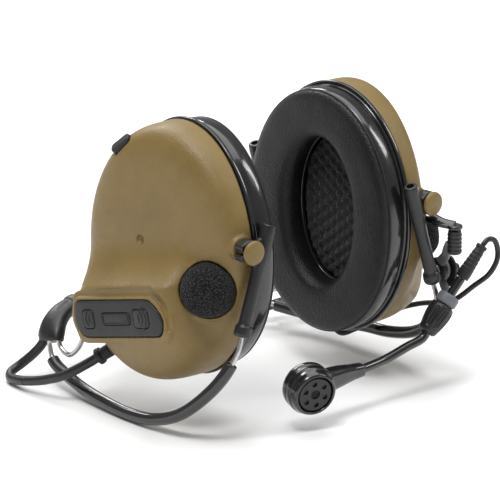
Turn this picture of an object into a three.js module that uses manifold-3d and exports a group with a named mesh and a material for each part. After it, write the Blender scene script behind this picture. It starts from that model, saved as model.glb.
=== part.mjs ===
// Neckband radio headset: two oval ear-defender cups on a behind-the-neck spring band,
// a keypad on the right cup, a battery hatch on the left cup and a boom microphone.
// Millimetres, +Z up, the wearer faces -Y and the wearer's left is +X.
// The origin lies under the middle of the headset, on the surface it stands on.
import * as THREE from 'three';
import { mergeVertices } from 'three/addons/utils/BufferGeometryUtils.js';
import Module from 'manifold-3d';

const wasm = await Module();
wasm.setup();

// Driving dimensions of the cups.
const CUP_OFFSET = 43; // middle of the headset to the plane of each base ring
const CUP_YAW = 2.75; // degrees, the fronts of the cups stand slightly apart
const SHELL_HALF_DEPTH = 42.2;
const SHELL_HALF_HEIGHT = 54.7;
const FACE_HEIGHT = 20.5; // outer face above the base ring, at the middle
const FACE_SLOPE = 0.18; // the face falls towards the front
const WALL = 3;
const CAVITY_LIMIT = 17;
const SHELL_EDGE_POWER = 5;
const BASE_RING_THICKNESS = 2.3;
const OPENING_HALF_DEPTH = 19.5;
const OPENING_HALF_HEIGHT = 32.5;
const GAP = 0.3;

// Control panel box on the lower rear of each cup.
const PANEL_HEIGHT = 33.6;
const PANEL_SLOPE = 0.12;
const PANEL_FORWARD = -5.5;
const PANEL_UP = -26.3;
const PANEL_TURN = 13; // degrees, the front end stands higher
const PANEL_LENGTH = 53;
const PANEL_WIDTH = 15.5;
const BUTTON_TRAVEL = 0.8;

// Pivots, arms and spring wires.
const PIVOT_OUT = 6;
const PIVOT_UP = 9.9;
const SLEEVE_OUT = -1.8;
const SLEEVE_LEAN = 18; // degrees, the lower end stands outward
const FRONT_SLEEVE_DEPTH = 46;
const REAR_SLEEVE_DEPTH = 46;
const CAP_RADIUS = 5.2; // dome of the pivot stud
const WIRE_RADIUS = 1.1;
const TUBE_RADIUS = 2.7;
const TUBE_BORE_RADIUS = 1.75;

// Boom microphone.
const BOOM_ROD_RADIUS = 2;
const MIC_CABLE_RADIUS = 1.2;
const CUP_CABLE_RADIUS = 2.1;

// The headset's own middle and lowest point, as seen from the middle of the cups.
const ORIGIN = new THREE.Vector3(0, 14.6, -72.7);

const KHAKI = { color: 0x7a6434, roughness: 0.55, metalness: 0 };
const BLACK_PLASTIC = { color: 0x151517, roughness: 0.3, metalness: 0 };
const SATIN_PLASTIC = { color: 0x2a2b2d, roughness: 0.55, metalness: 0 };
const GREY_PLASTIC = { color: 0x54575a, roughness: 0.5, metalness: 0 };
const RUBBER = { color: 0x1c1d1f, roughness: 0.8, metalness: 0 };
const CUSHION_SKIN = { color: 0x18181a, roughness: 0.5, metalness: 0 };
const FOAM = { color: 0x101113, roughness: 1, metalness: 0 };
const STEEL = { color: 0xb4b6b8, roughness: 0.25, metalness: 1 };
const BOARD_GREEN = { color: 0x1f5a34, roughness: 0.6, metalness: 0 };

const headset = new THREE.Group();
const assembly = new THREE.Group();
assembly.position.copy(ORIGIN).negate();
headset.add(assembly);

function point(x, y, z) {
  return new THREE.Vector3(x, y, z);
}

// A point given outward, forward and up from the middle of a cup's base ring.
function cupPoint(side, outward, forward, up) {
  const placed = point(side * outward, -forward, up);
  placed.applyAxisAngle(point(0, 0, 1), THREE.MathUtils.degToRad(side * CUP_YAW));
  placed.x += side * CUP_OFFSET;
  return placed;
}

// Closed body with merged vertices and its faces turned outward.
function facingOut(geometry) {
  geometry.deleteAttribute('normal');
  geometry.deleteAttribute('uv');
  const body = mergeVertices(geometry, 1e-4);
  const corners = body.attributes.position;
  const index = body.index.array;
  const a = new THREE.Vector3();
  const b = new THREE.Vector3();
  const c = new THREE.Vector3();
  let volume = 0;
  for (let i = 0; i < index.length; i += 3) {
    a.fromBufferAttribute(corners, index[i]);
    b.fromBufferAttribute(corners, index[i + 1]);
    c.fromBufferAttribute(corners, index[i + 2]);
    volume += a.dot(b.cross(c));
  }
  if (volume < 0) {
    for (let i = 0; i < index.length; i += 3) {
      [index[i + 1], index[i + 2]] = [index[i + 2], index[i + 1]];
    }
  }
  body.computeVertexNormals();
  return body;
}

function solidOf(geometry) {
  const body = facingOut(geometry.clone());
  return new wasm.Manifold(new wasm.Mesh({
    numProp: 3,
    vertProperties: new Float32Array(body.attributes.position.array),
    triVerts: new Uint32Array(body.index.array),
  }));
}

function geometryOf(solid) {
  const mesh = solid.getMesh();
  const geometry = new THREE.BufferGeometry();
  geometry.setAttribute('position', new THREE.BufferAttribute(mesh.vertProperties, 3));
  geometry.setIndex(new THREE.BufferAttribute(mesh.triVerts, 1));
  return facingOut(geometry);
}

function join(...geometries) {
  return geometryOf(geometries.map(solidOf).reduce((whole, piece) => whole.add(piece)));
}

function cut(geometry, ...tools) {
  return geometryOf(tools.map(solidOf).reduce((rest, tool) => rest.subtract(tool), solidOf(geometry)));
}

// Skin over a list of equal closed rings; the ends are capped, or meet each other.
function loft(rings, meets = false) {
  const count = rings[0].length;
  const corners = rings.flat();
  const index = [];
  const spans = meets ? rings.length : rings.length - 1;
  for (let r = 0; r < spans; r += 1) {
    const next = (r + 1) % rings.length;
    for (let i = 0; i < count; i += 1) {
      const j = (i + 1) % count;
      index.push(r * count + i, r * count + j, next * count + j);
      index.push(r * count + i, next * count + j, next * count + i);
    }
  }
  if (!meets) {
    for (const [r, flip] of [[0, true], [rings.length - 1, false]]) {
      const middle = new THREE.Vector3();
      rings[r].forEach((corner) => middle.addScaledVector(corner, 1 / count));
      corners.push(middle);
      for (let i = 0; i < count; i += 1) {
        const ends = [r * count + i, r * count + ((i + 1) % count)];
        index.push(corners.length - 1, ...(flip ? ends.reverse() : ends));
      }
    }
  }
  const geometry = new THREE.BufferGeometry();
  geometry.setAttribute('position', new THREE.Float32BufferAttribute(
    corners.flatMap((corner) => corner.toArray()), 3));
  geometry.setIndex(index);
  return facingOut(geometry);
}

function oval(halfDepth, halfHeight, outward, count = 32) {
  return Array.from({ length: count }, (_, i) => {
    const angle = (2 * Math.PI * i) / count;
    return point(outward, halfDepth * Math.cos(angle), halfHeight * Math.sin(angle));
  });
}

// Turned body: the profile lists radius and height, and height runs along the axis from its base.
function turned(profile, base, axis, segments = 12) {
  const geometry = new THREE.LatheGeometry(profile.map(([r, h]) => new THREE.Vector2(r, h)), segments);
  const turn = new THREE.Quaternion().setFromUnitVectors(point(0, 1, 0), axis.clone().normalize());
  geometry.applyQuaternion(turn);
  geometry.translate(base.x, base.y, base.z);
  return facingOut(geometry);
}

function rod(base, axis, radius, from, to, segments = 12) {
  return turned([[0, from], [radius, from], [radius, to], [0, to]], base, axis, segments);
}

// Round tube or wire along points, with an optional bore.
function bentRod(points, radius, steps, sides = 10, bore = 0) {
  const circle = (r) => Array.from({ length: sides }, (_, i) => {
    const angle = (2 * Math.PI * i) / sides;
    return new THREE.Vector2(r * Math.cos(angle), r * Math.sin(angle));
  });
  const shape = new THREE.Shape(circle(radius));
  if (bore > 0) {
    shape.holes.push(new THREE.Path(circle(bore)));
  }
  const path = new THREE.CatmullRomCurve3(points, false, 'centripetal');
  return facingOut(new THREE.ExtrudeGeometry(shape, { steps, extrudePath: path, bevelEnabled: false }));
}

// Oval section swept along points; each point has its half width and half thickness.
function sweep(points, halfWidths, halfThicknesses, widthDirection, steps, sides = 12) {
  const path = new THREE.CatmullRomCurve3(points, false, 'centripetal');
  const rings = [];
  for (let s = 0; s <= steps; s += 1) {
    const t = s / steps;
    const along = path.getTangent(t);
    const wide = widthDirection.clone().addScaledVector(along, -widthDirection.dot(along)).normalize();
    const thin = new THREE.Vector3().crossVectors(along, wide);
    const place = t * (points.length - 1);
    const before = Math.min(Math.floor(place), points.length - 2);
    const mix = place - before;
    const width = THREE.MathUtils.lerp(halfWidths[before], halfWidths[before + 1], mix);
    const thickness = THREE.MathUtils.lerp(halfThicknesses[before], halfThicknesses[before + 1], mix);
    const middle = path.getPoint(t);
    rings.push(Array.from({ length: sides }, (_, i) => {
      const angle = (2 * Math.PI * i) / sides;
      return middle.clone()
        .addScaledVector(wide, width * Math.cos(angle))
        .addScaledVector(thin, thickness * Math.sin(angle));
    }));
  }
  return loft(rings);
}

function mirrored(geometry) {
  const copy = geometry.clone();
  copy.scale(-1, 1, 1);
  return facingOut(copy);
}

function addMesh(group, name, geometry, look) {
  const mesh = new THREE.Mesh(geometry, new THREE.MeshStandardMaterial(look));
  mesh.name = name;
  group.add(mesh);
}

// Height of the outer face above the base ring, with the ramp that rises to the panel box.
function faceHeight(y, z) {
  const forward = -y;
  const turn = THREE.MathUtils.degToRad(PANEL_TURN);
  const across = forward * Math.cos(turn) + z * Math.sin(turn);
  const upward = z * Math.cos(turn) - forward * Math.sin(turn);
  const plain = FACE_HEIGHT - FACE_SLOPE * forward;
  const panel = PANEL_HEIGHT - PANEL_SLOPE * (forward - PANEL_FORWARD);
  const ramp = THREE.MathUtils.clamp((7 - upward) / 19, 0, 1) ** 2;
  const end = 1 - THREE.MathUtils.smoothstep(across, 15, 25);
  return plain + (panel - plain) * ramp * end;
}

// Bowl surface rings from the rim to the middle of the face.
function bowl(halfDepth, halfHeight, height, count) {
  const rims = [0, 5, 16, 34, 54, 71, 82, 87.5];
  const rings = rims.map((degrees) => {
    const angle = THREE.MathUtils.degToRad(degrees);
    const reach = Math.cos(angle) ** (2 / SHELL_EDGE_POWER);
    const rise = Math.sin(angle) ** (2 / SHELL_EDGE_POWER);
    return oval(halfDepth * reach, halfHeight * reach, 0, count)
      .map((corner) => corner.setX(rise * height(corner.y, corner.z)));
  });
  return loft(rings);
}

const panelTurn = THREE.MathUtils.degToRad(PANEL_TURN);
const panelLean = Math.atan(PANEL_SLOPE);
const panelOut = point(Math.cos(panelLean), -Math.sin(panelLean), 0);
const panelForward = point(-Math.sin(panelLean), -Math.cos(panelLean), 0);
const panelRear = panelForward.clone().multiplyScalar(-Math.cos(panelTurn)).setZ(-Math.sin(panelTurn));
const panelUp = new THREE.Vector3().crossVectors(panelOut, panelRear);
const panelFrame = new THREE.Matrix4().makeBasis(panelRear, panelUp, panelOut)
  .setPosition(PANEL_HEIGHT, -PANEL_FORWARD, PANEL_UP);

// Outline of the keypad and of the battery hatch; x runs rearward and y up.
function panelOutline(grow) {
  const halfLength = PANEL_LENGTH / 2 + grow;
  const halfWidth = PANEL_WIDTH / 2 + grow;
  const corners = [
    [halfLength, -1], [halfLength - 1.5, halfWidth - 2], [halfLength - 3.5, halfWidth],
    [-halfLength + 7.5, halfWidth], [-halfLength + 3, halfWidth - 4], [-halfLength, -1.5],
    [-halfLength + 2, -halfWidth + 1.5], [-halfLength + 4, -halfWidth], [halfLength - 6, -halfWidth],
    [halfLength - 3, -halfWidth + 1.5],
  ];
  return new THREE.Shape(corners.map(([x, y]) => new THREE.Vector2(x, y)));
}

function roundedBar(width, height, radius, middleX = 0, middleY = 0) {
  const shape = new THREE.Shape();
  const left = middleX - width / 2;
  const bottom = middleY - height / 2;
  shape.moveTo(left + radius, bottom);
  shape.lineTo(left + width - radius, bottom);
  shape.absarc(left + width - radius, bottom + radius, radius, -Math.PI / 2, 0);
  shape.absarc(left + width - radius, bottom + height - radius, radius, 0, Math.PI / 2);
  shape.absarc(left + radius, bottom + height - radius, radius, Math.PI / 2, Math.PI);
  shape.absarc(left + radius, bottom + radius, radius, Math.PI, Math.PI * 1.5);
  return shape;
}

// Plate of the given outline between two heights over the panel face.
function panelPlate(shape, from, to) {
  const geometry = new THREE.ExtrudeGeometry(shape, {
    depth: to - from, bevelEnabled: false, curveSegments: 2,
  });
  geometry.translate(0, 0, from);
  geometry.applyMatrix4(panelFrame);
  return facingOut(geometry);
}

// Box under the panel with chamfered edges.
function panelBox() {
  const geometry = new THREE.ExtrudeGeometry(panelOutline(2.2), {
    depth: 23, bevelEnabled: true, bevelThickness: 1.2, bevelSize: 1.2, bevelSegments: 1,
  });
  geometry.translate(0, 0, -24.2);
  geometry.applyMatrix4(panelFrame);
  return facingOut(geometry);
}

const windscreenBase = point(13.5, -29.5, -9);
const windscreenAxis = point(0.8, -0.58, 0.15).normalize();
const plugMiddle = point(18.7, 21.6, 43.1);
const plugAxis = point(0.74, 0.27, 0.62).normalize();
const glandBase = point(16.6, 20.4, -42.4);
const glandAxis = point(0.52, 0.64, -0.57).normalize();
const bootBase = point(12.5, 16, -45.5);
const bootAxis = point(0, -0.15, -1).normalize();

// Rounded plug 11 mm long, lying along the shoulder of the shell.
function plugBody(grow) {
  const shape = roundedBar(10.5 + 2 * grow, 4.6 + 2 * grow, 1.8 + grow);
  const geometry = new THREE.ExtrudeGeometry(shape, {
    depth: 3.4 + grow, bevelEnabled: false, curveSegments: 2,
  });
  const downhill = point(0, 0.55, -0.84);
  const along = downhill.clone().addScaledVector(plugAxis, -downhill.dot(plugAxis)).normalize();
  const across = new THREE.Vector3().crossVectors(plugAxis, along);
  geometry.translate(0, 0, -2.2 - grow);
  geometry.applyMatrix4(new THREE.Matrix4().makeBasis(along, across, plugAxis).setPosition(plugMiddle));
  return facingOut(geometry);
}

// Common shell with its pivot bosses, windscreen seat, plug recess and cable hole.
function shellBody() {
  const outside = bowl(SHELL_HALF_DEPTH, SHELL_HALF_HEIGHT, faceHeight, 30);
  const inside = bowl(SHELL_HALF_DEPTH - WALL, SHELL_HALF_HEIGHT - WALL, (y) => (
    Math.min(FACE_HEIGHT + FACE_SLOPE * y - WALL, CAVITY_LIMIT)), 20);
  const mouth = loft([
    oval(SHELL_HALF_DEPTH - WALL, SHELL_HALF_HEIGHT - WALL, -2, 20),
    oval(SHELL_HALF_DEPTH - WALL, SHELL_HALF_HEIGHT - WALL, 0.5, 20),
  ]);
  const bossFront = rod(point(PIVOT_OUT, -34, PIVOT_UP), point(0, -1, 0), 5.2, 0, 7.6, 10);
  const bossRear = rod(point(PIVOT_OUT, 34, PIVOT_UP), point(0, 1, 0), 5.2, 0, 7.6, 10);
  const seat = rod(windscreenBase, windscreenAxis, 12.9, -7, 1.4, 16);
  const whole = join(outside, panelBox(), bossFront, bossRear, seat);
  return cut(
    whole, inside, mouth,
    rod(windscreenBase, windscreenAxis, 12.1, -0.4, 6, 16),
    rod(windscreenBase, windscreenAxis, 3.6, -9, 0, 8),
    plugBody(GAP),
    rod(glandBase, glandAxis, 2.5, -6, 8, 8),
    rod(point(PIVOT_OUT, -42, PIVOT_UP), point(0, 1, 0), 2.6, -1, 6.3, 8),
    rod(point(PIVOT_OUT, 42, PIVOT_UP), point(0, -1, 0), 2.6, -1, 6.3, 8),
    turned([[0, -1], [2.2, 0], [2.2, 3], [0, 3]], point(21.2, 6.1, 5.6), point(1, 0, 0), 8),
  );
}

// Right shell: shallow tray for the keypad.
function rightShell() {
  return cut(shellBody(), panelPlate(panelOutline(GAP), -2.6, 4));
}

// Left shell: hatch rebate and battery trough.
function leftShell() {
  return cut(
    shellBody(),
    panelPlate(panelOutline(GAP), -2.2, 4),
    panelPlate(roundedBar(46.4, 11.6, 2), -14, 0),
    rod(bootBase, bootAxis, 1.5, -8, 8, 12),
  );
}

function baseRing() {
  const outer = SHELL_HALF_DEPTH + 0.6;
  const outerHigh = SHELL_HALF_HEIGHT + 0.6;
  const low = -GAP - BASE_RING_THICKNESS;
  return loft([
    oval(outer, outerHigh, -GAP), oval(outer - 0.2, outerHigh - 0.2, low),
    oval(OPENING_HALF_DEPTH + 0.5, OPENING_HALF_HEIGHT + 0.5, low),
    oval(OPENING_HALF_DEPTH + 0.5, OPENING_HALF_HEIGHT + 0.5, -GAP),
  ], true);
}

// Padded ring: flat back on the base ring, rounded crest towards the head.
function cushion() {
  const section = [
    [0.02, -2.9], [0.97, -2.9], [1, -8.2], [0.92, -11.2], [0.7, -13.4], [0.42, -13.8], [0.16, -12.2], [0, -8.6],
  ];
  return loft(section.map(([reach, outward]) => oval(
    THREE.MathUtils.lerp(OPENING_HALF_DEPTH, SHELL_HALF_DEPTH - 0.9, reach),
    THREE.MathUtils.lerp(OPENING_HALF_HEIGHT, SHELL_HALF_HEIGHT - 1.4, reach),
    outward,
    26,
  )), true);
}

function foamLiner() {
  const halfDepth = OPENING_HALF_DEPTH - 0.4;
  const halfHeight = OPENING_HALF_HEIGHT - 0.4;
  return loft([
    oval(halfDepth - 1, halfHeight - 1, -1.6, 24), oval(halfDepth, halfHeight, -0.6, 24),
    oval(halfDepth, halfHeight, 1.8, 24),
  ]);
}

function speaker() {
  return turned(
    [[0, 0], [16, 0], [16.4, 1.2], [16, 2.4], [9, 5.5], [9, 8.6], [0, 8.6]],
    point(2.4, 2, 6), point(1, 0, 0), 16,
  );
}

function circuitBoard() {
  const shape = roundedBar(30, 40, 4);
  const geometry = new THREE.ExtrudeGeometry(shape, { depth: 1.2, bevelEnabled: false, curveSegments: 3 });
  geometry.rotateY(Math.PI / 2);
  geometry.rotateX(Math.PI / 2);
  geometry.translate(11.6, 2, 4);
  return facingOut(geometry);
}

// Snap stud: shank in the boss, neck for the arm's eye and a domed cap.
function pivotStud(direction, neckLength) {
  const neckEnd = 7.3 + neckLength;
  return turned([
    [0, 0.6], [2.2, 0.6], [2.2, neckEnd], [CAP_RADIUS, neckEnd], [CAP_RADIUS, neckEnd + 1.4],
    [CAP_RADIUS - 1.1, neckEnd + 2.3], [0, neckEnd + 2.7],
  ], point(PIVOT_OUT, direction * 35, PIVOT_UP), point(0, direction, 0), 12);
}

// Arm: an eye round the stud's neck and a bored sleeve that grips the spring wire.
function arm(direction, depth) {
  const lean = THREE.MathUtils.degToRad(SLEEVE_LEAN);
  const down = point(Math.sin(lean), 0, -Math.cos(lean));
  const top = point(SLEEVE_OUT, direction * depth, PIVOT_UP);
  const eye = turned([[2.6, -1.6], [4.9, -1.6], [4.9, 3.5], [2.6, 3.5], [2.6, -1.6]],
    point(PIVOT_OUT, direction * (depth - 1.9), PIVOT_UP), point(0, direction, 0), 12);
  const sleeve = turned([
    [0, -10], [2.9, -10], [3.2, -3], [3.2, 5], [2.7, 9], [2.7, 33], [3.7, 33.4],
    [3.7, 37], [3.2, 38], [0, 38],
  ], top, down, 9);
  return cut(join(eye, sleeve), rod(top, down, 1.7, -12, 41, 6));
}

function windscreen() {
  return turned([
    [0, 0], [11.6, 0], [11.5, 3], [9.9, 7.6], [6, 10.8], [0, 12],
  ], windscreenBase, windscreenAxis, 20);
}

function ambientMicrophone() {
  return rod(windscreenBase, windscreenAxis, 3.1, -4.4, -0.4, 12);
}

// Cable boot: ribbed taper with a collar, its spigot in the shell's hole.
function gland() {
  return turned([
    [0, -3], [2.1, -3], [2.1, 7], [3.4, 7.2], [3.4, 8.8], [2.9, 9.2], [2.7, 13.6], [3.6, 13.8],
    [3.6, 16.4], [0, 16.4],
  ], glandBase, glandAxis, 12);
}

function buildCup(side, prefix, shell) {
  const cup = new THREE.Group();
  cup.position.x = side * CUP_OFFSET;
  cup.rotation.z = THREE.MathUtils.degToRad(side * CUP_YAW);
  const handed = (geometry) => (side < 0 ? mirrored(geometry) : geometry);
  const add = (name, geometry, look) => addMesh(cup, `${prefix}_${name}`, handed(geometry), look);
  add('cup_shell', shell, KHAKI);
  add('base_ring', baseRing(), BLACK_PLASTIC);
  add('ear_cushion', cushion(), CUSHION_SKIN);
  add('foam_liner', foamLiner(), FOAM);
  add('speaker', speaker(), SATIN_PLASTIC);
  add('circuit_board', circuitBoard(), BOARD_GREEN);
  add('front_pivot_stud', pivotStud(-1, FRONT_SLEEVE_DEPTH - 40), KHAKI);
  add('rear_pivot_stud', pivotStud(1, REAR_SLEEVE_DEPTH - 40), KHAKI);
  add('front_arm', arm(-1, FRONT_SLEEVE_DEPTH), BLACK_PLASTIC);
  add('rear_arm', arm(1, REAR_SLEEVE_DEPTH), BLACK_PLASTIC);
  add('mic_windscreen', windscreen(), FOAM);
  add('ambient_mic', ambientMicrophone(), STEEL);
  add('blanking_plug', plugBody(0), RUBBER);
  add('cable_gland', gland(), RUBBER);
  assembly.add(cup);
  return add;
}

const keySizes = { rear: [6.4, 8, 17.4], middle: [17, 5.2, 1], front: [9, 8, -14] };

const addRight = buildCup(-1, 'right', rightShell());
addRight('keypad_pad', cut(
  panelPlate(panelOutline(0), -2.3, 0.7),
  ...Object.values(keySizes).map(([long, high, x]) => (
    panelPlate(roundedBar(long + 2 * GAP, high + 2 * GAP, 2 + GAP, x, 0), -3, 2))),
), RUBBER);
for (const [name, [long, high, x]] of Object.entries(keySizes)) {
  addRight(`button_${name}`, panelPlate(roundedBar(long, high, 2, x, 0), BUTTON_TRAVEL - 2.2, 1.3), RUBBER);
}

const addLeft = buildCup(1, 'left', leftShell());
addLeft('battery_hatch', panelPlate(panelOutline(0), -1.9, 0.9), SATIN_PLASTIC);
const cellStart = point(-22.2, 0, -8.2).applyMatrix4(panelFrame);
addLeft('battery_cell', turned([
  [0, 0], [5.25, 0], [5.25, 43.6], [1.9, 43.6], [1.9, 44.6], [0, 44.6],
], cellStart, panelRear, 12), SATIN_PLASTIC);
addLeft('mic_cable_boot', turned([
  [0, -2], [1.2, -2], [1.2, 6.8], [2.4, 7], [2.1, 10.4], [0, 10.4],
], bootBase, bootAxis, 12), RUBBER);

// Spring wires, given from the junction mouth to the lower end of the sleeve.
function sleevePoints(side, forward, distances) {
  const lean = THREE.MathUtils.degToRad(SLEEVE_LEAN);
  return distances.map((s) => cupPoint(
    side, SLEEVE_OUT + s * Math.sin(lean), forward, PIVOT_UP - s * Math.cos(lean)));
}

const wireRoutes = {
  right: {
    side: -1,
    front: [[-61.8, 69, -52], [-62.4, 68.3, -57], [-63.4, 65, -62], [-66, 48, -67], [-68.5, 29, -69.2],
      [-70, 8.6, -70], [-70, -7.1, -68.5], [-69, -21.7, -63.2], [-66, -34, -53.4], [-61.9, -41.6, -43.4]],
    rear: [[-60.5, 65.4, -51.5], [-60.7, 63.2, -56.4], [-60.8, 57.6, -58.4], [-60.6, 51, -53], [-59.6, 47.4, -43]],
  },
  left: {
    side: 1,
    front: [[56, 67.6, -62.2], [59.4, 63.6, -62.8], [61.5, 58, -63.5], [65, 46.6, -64.5], [68, 30, -64.6],
      [69.3, 10.4, -63], [68.8, -5.3, -61.6], [67.8, -20.7, -57.6], [65, -34, -50], [61.4, -41.6, -42.4]],
    rear: [[55.6, 67.4, -58.8], [58.6, 63.6, -57.2], [60, 57.8, -55], [60.2, 51, -49.6], [59.4, 47.2, -42]],
  },
};

for (const [name, route] of Object.entries(wireRoutes)) {
  const toPoints = (rows) => rows.map((row) => point(...row));
  const front = [...toPoints(route.front),
    ...sleevePoints(route.side, FRONT_SLEEVE_DEPTH, [45, 38, 25, 10, -6])];
  const rear = [...toPoints(route.rear),
    ...sleevePoints(route.side, -REAR_SLEEVE_DEPTH, [45, 38, 25, 10, -6])];
  const covered = new THREE.CatmullRomCurve3(front.slice(1, 11), false, 'centripetal').getSpacedPoints(26);
  addMesh(assembly, `${name}_front_wire`, bentRod(front, WIRE_RADIUS, 28, 6), STEEL);
  addMesh(assembly, `${name}_rear_wire`, bentRod(rear, WIRE_RADIUS, 20, 6), STEEL);
  addMesh(assembly, `${name}_wire_tube`,
    bentRod(covered.slice(1, 25), TUBE_RADIUS, 15, 8, TUBE_BORE_RADIUS), BLACK_PLASTIC);
}

// Neckband cover and the junction pieces at its two ends.
const coverRoute = [
  [-41.1, 73.6, -42.1], [-30, 79.5, -42.9], [-15, 85, -46], [0, 87.4, -50], [14, 87.2, -54],
  [26, 84, -57], [35.2, 80, -58.9],
];
addMesh(assembly, 'neckband_cover', sweep(
  coverRoute.map((row) => point(...row)), Array(7).fill(3.6), Array(7).fill(2.8), point(0, 0, 1), 14, 10,
), BLACK_PLASTIC);

function junction(rows, widthDirection, holes) {
  const body = sweep(rows.map((row) => point(...row)), [3.8, 4.2, 5, 5.9, 6.6, 6.8],
    [3, 3.2, 3.4, 3.6, 3.8, 3.6], widthDirection, 6, 10);
  return cut(body, ...holes.map(([start, end, radius]) => {
    const from = point(...start);
    const along = point(...end).sub(from);
    return rod(from, along, radius, 0, along.length(), 6);
  }));
}

addMesh(assembly, 'right_junction', junction(
  [[-42.8, 72.9, -42.2], [-47, 72.6, -43], [-52.5, 72.4, -45], [-57, 71.6, -48.4], [-60, 70, -52], [-61.4, 68.9, -55.2]],
  point(0.1, 1, 0.1),
  [
    [[-61.6, 69.3, -50.5], [-62.7, 67.7, -60], 1.6],
    [[-60.3, 65.9, -50.6], [-60.9, 62.6, -58], 1.6],
    [[-60.4, 72.6, -51], [-62.6, 74, -59], 2.8],
  ],
), SATIN_PLASTIC);

addMesh(assembly, 'left_junction', junction(
  [[36.3, 79.5, -59], [42, 76.8, -60], [47.5, 73.8, -60.7], [52, 70.9, -61], [55.6, 68, -61], [58.2, 65.4, -61]],
  point(0, 0.1, 1),
  [
    [[54.6, 69.2, -61.9], [61, 62, -63.1], 1.6],
    [[54.4, 68.9, -59.5], [60.4, 61.2, -56.3], 1.6],
    [[54.2, 70.2, -64.4], [61.4, 64.6, -66.2], 2.8],
  ],
), SATIN_PLASTIC);

// Cables: from the junction pieces to the boots under the cups, and from the boom to the left cup.
const cupCableRoutes = {
  right: [[-60.7, 72.8, -52], [-61.9, 73.6, -56.5], [-64, 77, -61.6], [-67.5, 81.2, -66.6], [-72, 82.6, -69.4],
    [-75.8, 79, -70.3], [-77.6, 71, -69.3], [-77.4, 62, -67.4], [-76.6, 53, -64.6], [-75, 44, -60.8]],
  left: [[54.6, 69.8, -64.4], [59, 66.8, -65.7], [64.5, 66.6, -66], [70.4, 66.6, -65.8], [75.6, 63.8, -65.4],
    [78.2, 57.4, -64.6], [78.4, 50, -62.8], [76.8, 43, -59]],
};
const glandEnd = glandBase.clone().addScaledVector(glandAxis, 16.7);
const glandLead = glandBase.clone().addScaledVector(glandAxis, 21);
for (const [name, rows] of Object.entries(cupCableRoutes)) {
  const side = wireRoutes[name].side;
  const points = rows.map((row) => point(...row));
  points.push(cupPoint(side, glandLead.x, -glandLead.y, glandLead.z));
  points.push(cupPoint(side, glandEnd.x, -glandEnd.y, glandEnd.z));
  addMesh(assembly, `${name}_cup_cable`, bentRod(points, CUP_CABLE_RADIUS, 12, 8), RUBBER);
}

// Boom carrier: bracket on the left cup, swivel link, hoop and clamp knob.
const clampMiddle = point(56.3, -53.1, -32.8);
const clampAxis = point(0.63, -0.12, 0.77).normalize();
const swivelTop = point(57.4, -56, -0.9);
const tiltMiddle = point(63.1, -40.7, -23.6);
const upright = point(0, 0, 1);

addMesh(assembly, 'boom_bracket', join(
  sweep([point(54.8, -42, 2.4), point(54.2, -45.6, 2.2), point(55, -50.5, 1.2), point(57.4, -56, 0.7)],
    [2.9, 2.9, 2.7, 2.4], [1.1, 1.1, 1.1, 1.1], point(1, 0, 0.3), 6, 8),
  rod(swivelTop, upright, 3.4, 0.3, 2, 12),
  rod(swivelTop, upright, 1.2, -9.5, 1, 10),
), BLACK_PLASTIC);

addMesh(assembly, 'boom_link', cut(
  join(
    turned([[0, -11], [2.7, -11], [3.1, -9.6], [3.1, -1], [2.7, -0.2], [0, -0.2]], swivelTop, upright, 12),
    sweep([point(55.8, -54.4, -7.4), point(57, -51.8, -11), point(60.2, -47.6, -15.4), point(62.2, -42.6, -19.8)],
      [1.9, 2, 2.1, 2.4], [1.1, 1, 0.9, 0.8], point(0.1, -0.85, -0.5), 6, 8),
    rod(tiltMiddle, point(1, 0, 0), 5.4, -1.4, 0.4, 14),
  ),
  rod(swivelTop, upright, 1.5, -10.2, 2, 10),
  rod(tiltMiddle, point(1, 0, 0), 1.9, -4, 4, 12),
), BLACK_PLASTIC);

addMesh(assembly, 'boom_hoop', cut(
  join(
    turned([[2.6, -2.4], [4.3, -2.4], [4.7, -1.4], [4.7, 1.6], [4.2, 2.4], [2.6, 2.4], [2.6, -2.4]],
      clampMiddle, clampAxis, 12),
    rod(tiltMiddle, point(1, 0, 0), 5.2, 0.7, 2.6, 14),
    sweep([point(64.75, -41.2, -26.4), point(64.2, -42.4, -29.8), point(61.6, -46.4, -32), point(58.3, -50.2, -32.3)],
      [2.4, 2.3, 2.2, 2], [0.9, 1, 1.2, 1.4], point(0, 0.75, -0.65), 6, 8),
  ),
  rod(tiltMiddle, point(1, 0, 0), 1.9, -4, 4, 12),
  rod(clampMiddle, clampAxis, 2.5, -5, 22, 10),
), GREY_PLASTIC);
addMesh(assembly, 'boom_tilt_pin', turned([
  [0, -2.8], [2.9, -2.8], [2.9, -1.7], [1.6, -1.7], [1.6, 2.9], [0, 2.9],
], tiltMiddle, point(1, 0, 0), 10), STEEL);

// Oval cover over the pin, with a short boss.
const coverPlate = loft([oval(4.6, 7, 0, 20), oval(4.6, 7, 1.1, 20), oval(4, 6.4, 1.5, 20)]);
coverPlate.translate(tiltMiddle.x + 3.2, tiltMiddle.y - 2.6, tiltMiddle.z - 0.8);
addMesh(assembly, 'boom_tilt_cover', join(
  coverPlate,
  rod(point(tiltMiddle.x, tiltMiddle.y - 4.4, tiltMiddle.z + 0.8), point(1, 0, 0), 1.9, 4, 7, 10),
), SATIN_PLASTIC);

addMesh(assembly, 'clamp_knob', turned([
  [2.5, -16.6], [3.3, -16.6], [4, -15.4], [4.4, -11.4], [5.2, -10.8], [5.3, -4.2], [4.6, -2.8], [2.5, -2.8],
  [2.5, -16.6],
], clampMiddle, clampAxis, 20), SATIN_PLASTIC);

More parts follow.
